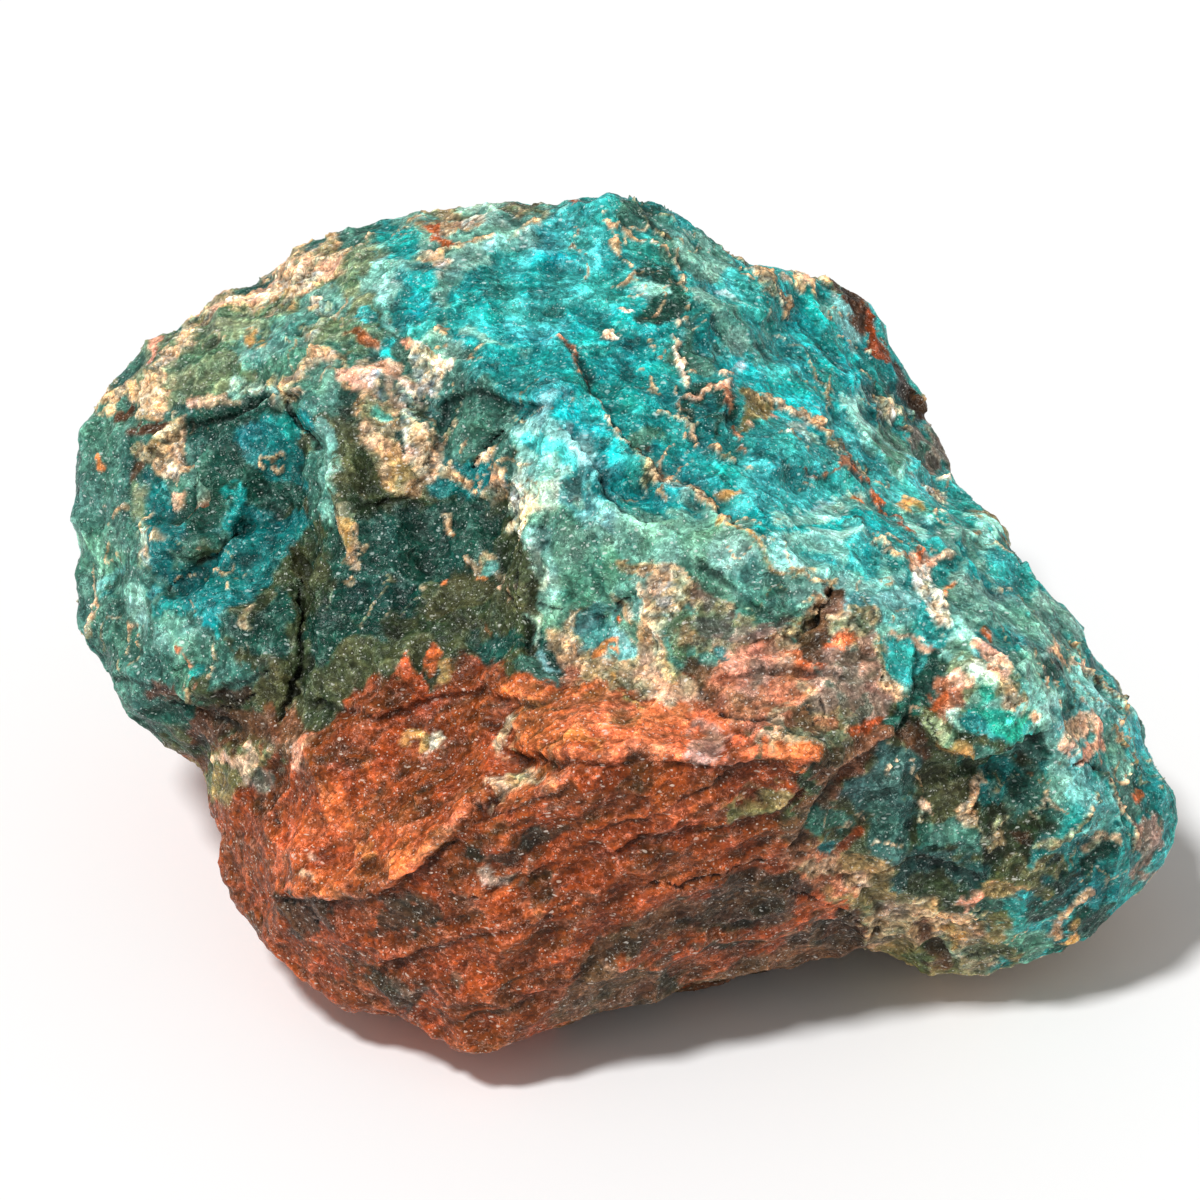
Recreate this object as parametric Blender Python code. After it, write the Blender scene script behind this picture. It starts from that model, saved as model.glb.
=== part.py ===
"""A rough piece of green jasper, about 11 cm long, lying on a small worn flat.

The stone is sculpted the way a carver would set out a block: landmarks on its ridges, hollows and
outline are joined into a faceted cage, the cage is given slightly worn edges, and the broken skin of
the rock is cut into it with chip scars, bedding ledges and cracks.
Landmarks are in millimetres. The finished stone is in metres, +Z up, and stands on Z = 0.
"""

import math

import bmesh
import bpy
import numpy as np
from mathutils import Vector, noise

MM = 0.001

# How the landmarks of the front are written: (right, up, near) from the stone's middle, as seen
# from the front by an eye this far away and this far above the horizon.
VIEW_ELEVATION = math.radians(35)
VIEW_DISTANCE = 800.0

# How far the floor lies under the stone's middle, the point that the landmarks are measured from.
FLOOR_DEPTH = 31.0

# The point inside the stone that its surface is star-shaped about.
HEART = Vector((0.0, 1.0, -3.0))

SKIN_VOXEL = 0.8
WORN_PASSES = 1
TRIANGLES = 9200

# Chip scars: how wide they are, how deep they scoop, and how much each one leans.
LARGE_CHIPS = (12.0, 3.0, 4.5)
SMALL_CHIPS = (4.6, 1.0, 1.0)
# The share of a scoop's depth that lies under the cage, which keeps the stone's size.
CHIP_LEVEL = 0.08
CHIP_WANDER = 2.5
CHIP_WANDER_LENGTH = 8.0
# The front is set out by its landmarks, so it takes only a share of the chipping.
FRONT_SHARE = 0.38
# The big teal slope is calmer than the rest: its middle, its radius, and the share of chipping left.
CALM_MIDDLE = (8.0, 26.0, 6.0)
CALM_RADIUS = 21.0
CALM_SHARE = 0.5

# The red mass splits along beds that rise to the right. Each bed juts out further towards its top,
# then steps back over the last fifth of its thickness.
BED_RISE = math.radians(23)
BED_THICKNESS = 5.2
BED_STEP = 1.1
BED_JUT_SHARE = 0.8
BED_WANDER = 0.8
BED_WANDER_LENGTH = 14.0
BED_FADE_LENGTH = 9.0
BEDDED_MIDDLE = (2.0, -30.0, 24.0)
BEDDED_RADIUS = 33.0

# Cracks are cut only where the surface faces the viewer by this much, and wander by this much.
CRACK_FACING = 0.15
CRACK_WANDER = 0.7
CRACK_WANDER_LENGTH = 3.0

# Outline, clockwise from the summit.
OUTLINE_TOP_RIGHT = [
    (-1.0, 42.2, -6), (3.6, 40.8, -8), (8.2, 37.9, -9), (12.7, 35.1, -11), (16.4, 34.2, -14),
]
OUTLINE_SHOULDER = [
    (20.5, 34.6, -20), (24.0, 32.6, -22), (26.5, 29.8, -23), (28.6, 25.5, -23), (30.3, 21.5, -22),
    (31.3, 18.0, -20), (32.0, 14.9, -18),
]
OUTLINE_RIGHT = [
    (33.4, 13.2, -11), (36.5, 11.2, -6), (38.8, 8.5, -4), (40.2, 6.0, -3), (43.0, 3.0, -2),
    (46.0, -1.0, 0), (48.5, -4.5, 1), (51.0, -8.0, 2), (52.3, -11.0, 3), (53.3, -15.0, 4),
    (54.9, -18.5, 4), (55.1, -21.5, 4), (53.6, -25.0, 4), (51.5, -27.8, 4), (48.0, -30.8, 4),
]
OUTLINE_BOTTOM = [
    (44.5, -32.8, 4), (41.0, -34.8, 4), (35.0, -35.3, 4), (31.0, -34.6, 5), (27.0, -32.9, 6),
    (23.0, -32.7, 8), (19.3, -33.4, 9), (15.9, -34.2, 10), (11.0, -36.0, 11), (6.5, -36.8, 12),
    (0.0, -38.8, 14), (-7.2, -41.0, 16), (-11.5, -42.6, 17), (-15.8, -43.3, 17),
    (-19.4, -41.6, 15), (-24.0, -39.2, 13), (-28.0, -37.2, 11), (-33.8, -33.8, 8),
]
OUTLINE_LEFT = [
    (-36.3, -30.5, 5), (-38.5, -26.0, 3), (-39.3, -22.0, 2), (-41.2, -18.0, 0),
    (-42.0, -14.5, -1), (-44.8, -12.0, -3), (-48.6, -8.6, -4), (-51.6, -4.5, -5),
    (-54.0, 0.0, -6), (-54.2, 4.7, -6), (-53.8, 9.5, -7), (-54.9, 14.7, -8), (-53.8, 19.6, -9),
    (-51.1, 23.8, -10), (-47.8, 27.6, -11),
]
OUTLINE_TOP_LEFT = [
    (-43.0, 30.1, -13), (-38.9, 32.6, -14), (-35.5, 34.3, -15), (-33.5, 36.5, -15),
    (-31.0, 37.5, -15), (-27.0, 38.5, -15), (-22.8, 39.3, -14), (-17.0, 40.8, -13),
    (-11.2, 41.8, -12), (-7.5, 42.6, -11), (-3.7, 42.3, -8),
]

# The crest from the summit to the left, and the pale arete that drops from its end.
CREST = [
    (-3.0, 40.0, -4), (-7.0, 38.8, -3), (-12.0, 37.8, -2), (-17.0, 36.8, -1), (-22.0, 35.6, 0),
    (-24.5, 33.0, 2), (-26.0, 29.5, 5), (-28.5, 26.5, 8), (-29.2, 22.0, 11), (-28.2, 17.5, 13),
    (-27.6, 12.0, 15), (-27.8, 6.5, 16.5),
]
BAND_BEHIND_CREST = [
    (-27.0, 36.5, -6), (-20.0, 38.4, -6), (-12.0, 39.8, -6.5), (-6.5, 40.7, -7),
]

# The ridge that ends the big teal slope, from the crust patch on the left to the right lobe.
BROW = [
    (-22.0, 29.0, 7), (-17.5, 26.0, 11), (-13.0, 23.5, 14), (-7.0, 22.3, 18), (-5.0, 18.0, 20.5),
    (-2.2, 14.2, 23), (0.5, 11.0, 25), (4.5, 9.0, 26.5), (9.0, 7.8, 27), (13.0, 7.8, 27),
    (18.0, 5.2, 27), (22.5, 3.5, 27), (27.0, 1.5, 26.5), (31.0, -1.5, 25),
]
TEAL_SLOPE = [
    (-2.0, 33.0, 2), (-12.0, 32.0, 5), (-17.5, 30.5, 7), (5.0, 33.5, 1), (2.0, 28.0, 7.5),
    (-6.0, 27.5, 10), (-1.0, 22.0, 14.5), (3.0, 16.0, 19), (8.0, 12.5, 22), (1.5, 13.0, 21),
    (6.0, 10.6, 23.2), (10.0, 20.0, 13), (8.0, 26.0, 6.5), (11.5, 30.5, -1), (6.5, 37.0, -5),
    (13.0, 31.5, -4), (17.5, 28.5, -8), (15.0, 24.5, 2), (21.5, 24.0, -6), (20.0, 18.0, 8.6),
    (25.5, 17.5, -1.5), (14.0, 20.3, 11), (16.5, 17.8, 14.6), (12.5, 15.6, 17), (14.0, 13.4, 18.6),
    (20.5, 13.5, 13.2), (9.5, 14.6, 20),
    (26.0, 11.0, 9.5), (31.0, 12.0, -0.5), (16.0, 10.5, 22), (22.0, 8.0, 21.5),
    (28.0, 7.0, 18), (33.0, 5.0, 15.5), (36.5, 8.5, 3),
]
SHOULDER_VALLEY = [
    (15.5, 33.0, -9.5), (19.5, 30.5, -14), (23.0, 26.5, -15), (26.0, 22.0, -14),
    (29.5, 17.0, -12), (32.4, 13.6, -10.5),
]
SHOULDER = [(22.5, 31.3, -17.5), (26.0, 27.0, -18), (28.6, 21.5, -17)]

# The green face under the brow, with the upright rib that splits it.
RIB = [(-7.8, 17.5, 20.5), (-8.2, 13.0, 21.5), (-8.2, 8.5, 22.8), (-9.0, 3.5, 22.8), (-8.8, 0.0, 22.5)]
RIB_SHADOW_SIDE = [(-10.5, 14.0, 17.5), (-10.3, 8.5, 18.3), (-11.2, 3.0, 18.8)]
GREEN_FACE = [
    (-20.0, 24.0, 9.5), (-15.0, 21.5, 12), (-24.5, 23.0, 10.5), (-17.0, 17.0, 12.5),
    (-22.8, 17.0, 14.2), (-23.5, 12.0, 13.0), (-15.0, 12.0, 13.5), (-18.0, 6.0, 14.5),
    (-24.0, 4.0, 16), (-30.3, 0.5, 15), (-25.0, -2.0, 18.5), (-18.0, 0.0, 18), (-13.0, -3.0, 20.2),
    (-30.5, -3.5, 14.2), (-3.0, 8.5, 26), (0.0, 5.0, 27), (-4.0, 2.0, 25.5), (-3.0, -2.0, 24.5),
    (4.8, 2.8, 28.6), (5.0, -2.5, 28), (9.5, 3.5, 27.2), (14.0, 1.5, 28.2), (19.5, 0.0, 28.2),
    (24.0, -1.0, 27.5),
]

# The red mass: the ridge down its left, the dull hollow beside it, the bright facet that leans up to
# the crest, and the brown shelf on the right; then the crest itself and the bedded face under it.
RED_SPUR = [(-23.0, -4.8, 21.4), (-25.8, -10.2, 22.0), (-30.3, -16.5, 20.4), (-33.0, -22.0, 18.8)]
RED_SPUR_LEFT = [(-28.5, -8.0, 17.2), (-32.0, -12.8, 15.0)]
RED_HOLLOW = [
    (-19.8, -7.6, 20.2), (-21.0, -13.5, 21.6), (-26.0, -19.0, 21.0), (-29.3, -23.5, 20.2),
    (-15.5, -7.0, 22.0), (-12.0, -6.4, 23.0), (-16.0, -12.0, 23.4), (-11.3, -10.5, 24.6),
    (-10.8, -14.8, 28.2), (-16.3, -17.2, 27.6), (-22.0, -19.2, 24.8),
]
RED_BRIGHT_FACET = [
    (-8.6, -6.4, 26.2), (-7.8, -11.0, 30.2), (-6.2, -13.2, 33.6), (-3.0, -7.6, 28.4),
    (2.0, -8.3, 30.0), (3.0, -11.4, 33.4), (9.0, -10.8, 33.2),
]
BROWN_SHELF = [
    (6.0, -6.6, 29.2), (10.0, -3.8, 29.0), (12.0, -8.6, 31.8), (16.5, -8.0, 31.2),
    (17.5, -4.2, 30.2), (23.5, -4.6, 29.2), (22.0, -9.0, 31.3), (27.0, -8.0, 28.8),
]
RED_CREST = [
    (-32.6, -27.4, 20), (-29.0, -28.0, 22), (-25.7, -27.7, 25), (-22.0, -25.5, 28),
    (-19.0, -23.0, 30), (-15.0, -20.5, 32), (-11.0, -18.5, 33.5), (-7.0, -16.0, 35.3),
    (-4.5, -14.0, 36.2), (-0.9, -13.9, 36.6), (4.2, -13.7, 36.6), (9.3, -14.8, 36.6),
    (13.1, -13.6, 36), (19.5, -13.6, 35), (24.0, -12.5, 33.3), (27.0, -11.0, 31), (28.5, -9.5, 29),
]
RED_LOWER_FACE = [
    (-30.0, -30.5, 18), (-24.0, -31.0, 22.5), (-18.0, -28.0, 27), (-12.0, -24.0, 30.5),
    (-5.0, -20.0, 33), (2.0, -18.0, 33.8), (9.0, -18.5, 33.2), (15.0, -18.0, 32),
    (20.0, -17.5, 30.5), (-20.0, -34.0, 22.5), (-13.0, -31.0, 26.5), (-6.0, -27.0, 29),
    (2.0, -24.0, 29.6), (10.0, -23.0, 29.2), (17.0, -22.5, 27.6), (-24.0, -36.0, 17.5),
    (-16.0, -38.0, 21.7), (-9.0, -35.5, 23.2), (-2.0, -32.5, 23.8), (6.0, -30.0, 23.2),
    (13.0, -28.5, 22), (20.0, -27.0, 20.5), (24.0, -29.5, 16), (16.0, -31.5, 15.5),
    (8.0, -34.0, 16.5), (0.0, -36.5, 18), (-8.0, -39.0, 19.5),
]
RED_FLANK = [
    (-38.5, -13.0, 9.5), (-36.0, -11.5, 11.5), (-39.5, -17.0, 6.5), (-35.0, -17.0, 12.2),
    (-36.8, -20.5, 10), (-36.3, -25.5, 11), (-34.0, -29.0, 13.5), (-29.0, -34.5, 14),
]

# The right lobe: the knob that stands out from it, and the dark hollow under the knob.
KNOB = [
    (31.0, -8.5, 29.6), (32.5, -11.5, 28.8), (36.5, -13.0, 27.8), (40.0, -12.3, 26.4),
    (43.0, -10.0, 23.5), (34.0, -5.0, 27.2), (38.0, -8.0, 27.4), (42.0, -6.0, 23.8),
    (28.8, -3.6, 26.2), (29.6, -6.8, 25.6),
]
RIGHT_SLOPE = [
    (32.0, 2.5, 22), (36.0, 0.5, 21.5), (38.0, 5.0, 10), (40.5, 0.0, 15), (45.0, -4.0, 13),
    (48.0, -9.0, 12), (50.0, -14.0, 11.5), (45.5, -13.5, 20),
]
DARK_HOLLOW = [
    (27.0, -15.0, 27), (23.0, -20.0, 26.5), (30.0, -18.0, 24), (33.0, -13.8, 23.5),
    (38.0, -14.8, 21.5), (34.0, -20.0, 22.2), (28.0, -24.0, 21.8), (36.0, -25.0, 19.3),
    (41.0, -18.5, 20), (45.5, -16.5, 19.8), (46.0, -20.5, 19.4), (42.0, -23.5, 19.3),
    (49.5, -19.0, 15), (44.0, -27.0, 16), (50.0, -24.0, 12), (38.0, -30.0, 14.5),
    (31.0, -29.0, 16.2), (46.0, -30.0, 9.5),
]

# The left lobe: the rim of the bowl, its floor, and the blocky lip that overhangs at the bottom.
BOWL_RIM = [
    (-33.0, 22.8, 9), (-38.5, 20.5, 7.5), (-42.0, 19.0, 7), (-44.0, 14.0, 7.5), (-45.5, 8.5, 8.2),
]
BOWL_FLOOR = [
    (-36.0, 15.0, 3.4), (-34.5, 18.3, 4.4), (-40.0, 14.5, 3.4), (-38.0, 10.0, 4.8),
    (-33.0, 10.5, 6.4), (-31.4, 15.0, 7.2), (-36.5, 5.5, 9.2), (-41.5, 6.5, 7.4), (-31.0, 6.0, 11.0),
]
LEFT_SLOPE = [
    (-30.0, 33.0, -4), (-28.0, 30.5, 1.5), (-34.0, 29.0, -1), (-40.0, 26.5, -2), (-46.0, 23.0, -3),
    (-32.5, 26.0, 4.5), (-49.0, 17.0, -1), (-50.0, 10.0, 0.5), (-48.0, 3.5, 4), (-51.0, -1.0, 0.5),
]
LEFT_LIP = [
    (-43.0, 2.0, 10.3), (-38.0, 0.0, 13), (-33.0, 0.0, 14.6), (-32.3, -3.0, 15.6),
    (-47.0, -2.0, 6), (-43.5, -4.0, 9.6), (-49.4, -6.0, 3.4), (-46.0, -7.0, 7.2),
    (-41.7, -8.0, 10.4), (-37.0, -5.9, 13.2), (-34.0, -4.9, 14.8),
    (-45.5, -9.8, 3.2), (-41.0, -10.8, 5.8), (-37.0, -9.4, 8.4), (-33.0, -8.5, 12.2),
]

# The back and the underside, written as (right, back, height) from the stone's middle.
BACK_TOP = [(-38, 36, 14), (-28, 39.5, 17), (-16, 40.5, 20), (-4, 38.5, 22), (7, 39, 20), (16, 41, 13)]
BACK_WAIST = [
    (-51, 19, 2), (-45, 30, 5), (-35, 38.5, 3), (-22, 42, 6), (-8, 43, 4), (6, 42.5, 6),
    (18, 41, 2), (27, 37, -2), (33, 26, -6), (38, 14, -5), (45, 5, -8),
]
BACK_FOOT = [
    (-50, 8, -10), (-46, 18, -10), (-38, 28, -12), (-25, 34, -11), (-10, 36.5, -13), (5, 36, -10),
    (18, 34, -12), (28, 27, -14), (38, 16, -15), (48, 5, -16), (52, -5, -14),
]
UNDERSIDE = [
    (-39.5, 0, -20), (-37, 12, -23), (-26, 20, -25), (-12, 25, -26), (4, 27, -25), (18, 25, -25),
    (30, 18, -25), (40, 8, -25), (48, -4, -24), (-24, -22, -28), (-30, -8, -27.5),
    (30, 2, -29.5), (35, -10, -29), (22, -15, -28.5), (8, -20.5, -29), (-6, -27, -29),
    (-16, -29, -29),
]
FOOT = [
    (-20, 8, -31), (-9, 13, -32), (8, 15, -32), (20, 9, -32), (0, -3, -33.5), (-11, -8, -33),
    (11, -6, -33),
]

# Open cracks on the front: (half width, depth, then points as (right, up)).
CRACKS = [
    (1.0, 1.6, [(-33.3, 22.1), (-31.8, 19.0), (-30.0, 16.5)]),
    (0.9, 1.4, [(-44.8, 3.0), (-40.7, 6.6), (-36.6, 9.7)]),
    (1.3, 2.4, [(-31.6, 6.0), (-31.8, 1.0), (-31.2, -3.0), (-32.4, -6.5)]),
    (0.9, 1.2, [(-8.5, 21.0), (-12.6, 18.2), (-14.9, 15.4)]),
    (0.9, 1.3, [(-3.6, -0.3), (-0.3, 0.9), (1.0, 2.7)]),
    (1.2, 1.6, [(13.0, -3.8), (17.3, -1.4), (20.0, 1.0), (21.6, 3.7)]),
    (1.0, 1.2, [(12.5, -4.0), (19.1, -4.2), (25.0, -3.5)]),
    (1.3, 0.8, [(27.0, -8.6), (24.0, -13.5), (20.2, -17.5), (17.5, -22.0)]),
]

FRONT_GROUPS = [
    OUTLINE_TOP_RIGHT, OUTLINE_SHOULDER, OUTLINE_RIGHT, OUTLINE_BOTTOM, OUTLINE_LEFT,
    OUTLINE_TOP_LEFT, CREST, BAND_BEHIND_CREST, BROW, TEAL_SLOPE, SHOULDER_VALLEY, SHOULDER, RIB,
    RIB_SHADOW_SIDE, GREEN_FACE, RED_SPUR, RED_SPUR_LEFT, RED_HOLLOW, RED_BRIGHT_FACET,
    BROWN_SHELF, RED_CREST, RED_LOWER_FACE, RED_FLANK, KNOB, RIGHT_SLOPE, DARK_HOLLOW, BOWL_RIM,
    BOWL_FLOOR, LEFT_SLOPE, LEFT_LIP,
]
BACK_GROUPS = [BACK_TOP, BACK_WAIST, BACK_FOOT, UNDERSIDE, FOOT]


def clear_scene():
    for obj in list(bpy.data.objects):
        bpy.data.objects.remove(obj)


def from_view(right, up, near):
    """A landmark of the front, as (right, back, height) from the stone's middle."""
    closer = 1 - near / VIEW_DISTANCE
    right, up = right * closer, up * closer
    sine, cosine = math.sin(VIEW_ELEVATION), math.cos(VIEW_ELEVATION)
    return Vector((right, up * sine - near * cosine, up * cosine + near * sine))


TOWARDS_VIEWER = Vector((0, -math.cos(VIEW_ELEVATION), math.sin(VIEW_ELEVATION)))


def landmarks():
    front = [from_view(*point) for group in FRONT_GROUPS for point in group]
    back = [Vector(point) for group in BACK_GROUPS for point in group]
    return front + back


def cage_mesh():
    """The landmarks joined into one closed cage: neighbours are those nearest as seen from the heart."""
    points = landmarks()
    bm = bmesh.new()
    for point in points:
        bm.verts.new((point - HEART).normalized())
    bmesh.ops.convex_hull(bm, input=bm.verts)
    for vert, point in zip(bm.verts, points):
        vert.co = point
    bmesh.ops.recalc_face_normals(bm, faces=bm.faces)
    mesh = bpy.data.meshes.new("cage")
    bm.to_mesh(mesh)
    bm.free()
    return mesh


def evaluated_copy(obj):
    graph = bpy.context.evaluated_depsgraph_get()
    return bpy.data.meshes.new_from_object(obj.evaluated_get(graph), depsgraph=graph)


def skin_mesh(cage):
    """The cage remeshed into an even skin, fine enough to carve."""
    block = bpy.data.objects.new("block", cage)
    bpy.context.scene.collection.objects.link(block)
    remesh = block.modifiers.new("even skin", "REMESH")
    remesh.mode = "VOXEL"
    remesh.voxel_size = SKIN_VOXEL
    mesh = evaluated_copy(block)
    bpy.data.objects.remove(block)
    return mesh


def wear_edges(bm):
    """Rounds the cage's edges by about a millimetre, as handling and weather do."""
    for _ in range(WORN_PASSES):
        bmesh.ops.smooth_vert(
            bm, verts=bm.verts, factor=0.5, use_axis_x=True, use_axis_y=True, use_axis_z=True
        )


def fade(distance, reach):
    """1 at no distance, falling smoothly to 0 at the reach."""
    left = min(1.0, max(0.0, 1 - distance / reach))
    return left * left * (3 - 2 * left)


def drift(point, size):
    """A gentle wander in all three directions, each within about half a unit."""
    place = point / size
    return Vector([noise.noise(place + Vector((shift, -shift, shift))) for shift in (17.3, 41.9, 73.1)])


def chip_scars(point, size, depth, lean):
    """Scoops side by side, each leaning its own way, that meet in low ridges."""
    place = point / size
    distances, seeds = noise.voronoi(place)
    heights = []
    for distance, seed in zip(distances, seeds):
        slope = noise.cell_vector(seed * 31) - Vector((0.5, 0.5, 0.5))
        heights.append(depth * (distance ** 2 - CHIP_LEVEL) + lean * slope.dot(place - seed))
    return min(heights)


def bed_ledges(point):
    """Ledges where the beds of the red mass break off one after another."""
    across = from_view(-math.sin(BED_RISE), math.cos(BED_RISE), 0)
    height = point.dot(across) / BED_THICKNESS + BED_WANDER * noise.noise(point / BED_WANDER_LENGTH)
    in_bed = height - math.floor(height)
    jut = min(in_bed / BED_JUT_SHARE, (1 - in_bed) / (1 - BED_JUT_SHARE))
    strength = 0.6 + noise.noise(point / BED_FADE_LENGTH)
    return BED_STEP * strength * (jut - 0.5)


def off_segment(place, start, end):
    """How far a place on the picture plane is from a line between two others."""
    along = end - start
    share = min(1.0, max(0.0, (place - start).dot(along) / along.length_squared))
    return (place - start - along * share).length


def crack_depth(place):
    deepest = 0.0
    for half_width, depth, corners in CRACKS:
        for start, end in zip(corners, corners[1:]):
            off = off_segment(place, Vector(start), Vector(end))
            deepest = max(deepest, depth * max(0.0, 1 - off / half_width))
    return deepest


def as_seen(point):
    """Where a point of the stone lies on the picture plane of the front, as (right, up)."""
    sine, cosine = math.sin(VIEW_ELEVATION), math.cos(VIEW_ELEVATION)
    near = point.z * sine - point.y * cosine
    up = point.y * sine + point.z * cosine
    return Vector((point.x, up)) / (1 - near / VIEW_DISTANCE)


def chip_relief(point, facing):
    """The chip scars, less of them towards the viewer and on the calm slope."""
    warped = point + CHIP_WANDER * drift(point, CHIP_WANDER_LENGTH)
    calm = fade((point - from_view(*CALM_MIDDLE)).length, CALM_RADIUS)
    share = (1 - (1 - CALM_SHARE) * calm) * (1 - (1 - FRONT_SHARE) * fade(-facing, 1.0))
    return share * (chip_scars(warped, *LARGE_CHIPS) + chip_scars(warped, *SMALL_CHIPS))


def skin_relief(point, normal):
    """How far the broken skin stands out of the cage at a point, in millimetres."""
    facing = normal.dot(TOWARDS_VIEWER)
    bedded = fade((point - from_view(*BEDDED_MIDDLE)).length, BEDDED_RADIUS)
    relief = chip_relief(point, facing) + bedded * bed_ledges(point)
    if facing > CRACK_FACING:
        relief -= crack_depth(as_seen(point) + CRACK_WANDER * drift(point, CRACK_WANDER_LENGTH).xy)
    return relief


def carve_skin(bm):
    bm.normal_update()
    moves = [vert.normal * skin_relief(vert.co, vert.normal) for vert in bm.verts]
    for vert, move in zip(bm.verts, moves):
        vert.co += move


def cut_foot(bm):
    """The worn flat that the stone rests on."""
    everything = list(bm.verts) + list(bm.edges) + list(bm.faces)
    cut = bmesh.ops.bisect_plane(
        bm, geom=everything, plane_co=(0, 0, -FLOOR_DEPTH), plane_no=(0, 0, -1), clear_outer=True
    )
    rim = [item for item in cut["geom_cut"] if isinstance(item, bmesh.types.BMEdge)]
    foot = bmesh.ops.contextual_create(bm, geom=rim)
    bmesh.ops.triangulate(bm, faces=foot["faces"])


def stand_on_origin(bm):
    """Moves the stone so that the middle of its footprint box is the origin, on Z = 0."""
    places = np.array([vert.co for vert in bm.verts])
    middle = (places.min(axis=0) + places.max(axis=0)) / 2
    bmesh.ops.translate(bm, verts=bm.verts, vec=(-middle[0], -middle[1], FLOOR_DEPTH))


def carved_mesh():
    bm = bmesh.new()
    bm.from_mesh(skin_mesh(cage_mesh()))
    wear_edges(bm)
    carve_skin(bm)
    mesh = bpy.data.meshes.new("carved")
    bm.to_mesh(mesh)
    bm.free()
    return mesh


def thinned_mesh(mesh):
    """The carved skin with fewer triangles where it is even."""
    block = bpy.data.objects.new("block", mesh)
    bpy.context.scene.collection.objects.link(block)
    thin = block.modifiers.new("fewer triangles", "DECIMATE")
    thin.ratio = TRIANGLES / (2 * len(mesh.polygons))
    thinned = evaluated_copy(block)
    bpy.data.objects.remove(block)
    return thinned


def stone_mesh():
    bm = bmesh.new()
    bm.from_mesh(thinned_mesh(carved_mesh()))
    cut_foot(bm)
    stand_on_origin(bm)
    bmesh.ops.scale(bm, vec=(MM, MM, MM), verts=bm.verts)
    mesh = bpy.data.meshes.new("jasper_stone")
    bm.to_mesh(mesh)
    bm.free()
    return mesh


def jasper_material():
    material = bpy.data.materials.new("green_jasper")
    material.use_nodes = True
    shader = material.node_tree.nodes["Principled BSDF"]
    shader.inputs["Base Color"].default_value = (0.05, 0.22, 0.2, 1)
    shader.inputs["Roughness"].default_value = 0.55
    shader.inputs["Metallic"].default_value = 0.0
    return material


def build():
    clear_scene()
    stone = bpy.data.objects.new("jasper_stone", stone_mesh())
    bpy.context.scene.collection.objects.link(stone)
    stone.data.materials.append(jasper_material())


build()
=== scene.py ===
import math

import bmesh
import bpy
import numpy as np
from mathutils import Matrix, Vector


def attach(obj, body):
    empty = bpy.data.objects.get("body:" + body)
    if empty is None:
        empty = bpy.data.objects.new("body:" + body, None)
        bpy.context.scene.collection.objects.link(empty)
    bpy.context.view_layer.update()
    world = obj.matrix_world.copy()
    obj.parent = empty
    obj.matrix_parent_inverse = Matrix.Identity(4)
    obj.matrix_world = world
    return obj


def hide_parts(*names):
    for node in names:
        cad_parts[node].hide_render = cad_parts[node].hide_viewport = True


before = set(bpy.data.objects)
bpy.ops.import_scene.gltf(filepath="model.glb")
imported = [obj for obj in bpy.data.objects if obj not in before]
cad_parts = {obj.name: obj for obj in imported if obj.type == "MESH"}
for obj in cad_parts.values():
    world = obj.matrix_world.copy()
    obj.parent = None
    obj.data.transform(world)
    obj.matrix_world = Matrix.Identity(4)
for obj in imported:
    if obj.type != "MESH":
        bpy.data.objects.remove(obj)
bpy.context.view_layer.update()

MM = 0.001

# The stone's middle in the CAD frame, in millimetres. All landmarks are measured from it.
STONE_MIDDLE = np.array([0.064, -2.386, 31.0])

# The photograph's eye: how far above the horizon, how far away, and what it looks at.
VIEW_ELEVATION = math.radians(35)
VIEW_DISTANCE = 800.0
VIEW_AIM = (-2.0, 2.0)
FRAME_WIDTH = 120.0
SENSOR_WIDTH = 36.0

SINE, COSINE = math.sin(VIEW_ELEVATION), math.cos(VIEW_ELEVATION)
TOWARDS_VIEWER = np.array([0.0, -COSINE, SINE])

# The skin's mesh width and smoothing, and how high the bare foot reaches.
SKIN_VOXEL = 0.27
SMOOTH_PASSES = 5
FOOT_HEIGHT = 0.35

# The floor's half width, in metres.
FLOOR_REACH = 4.0

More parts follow.
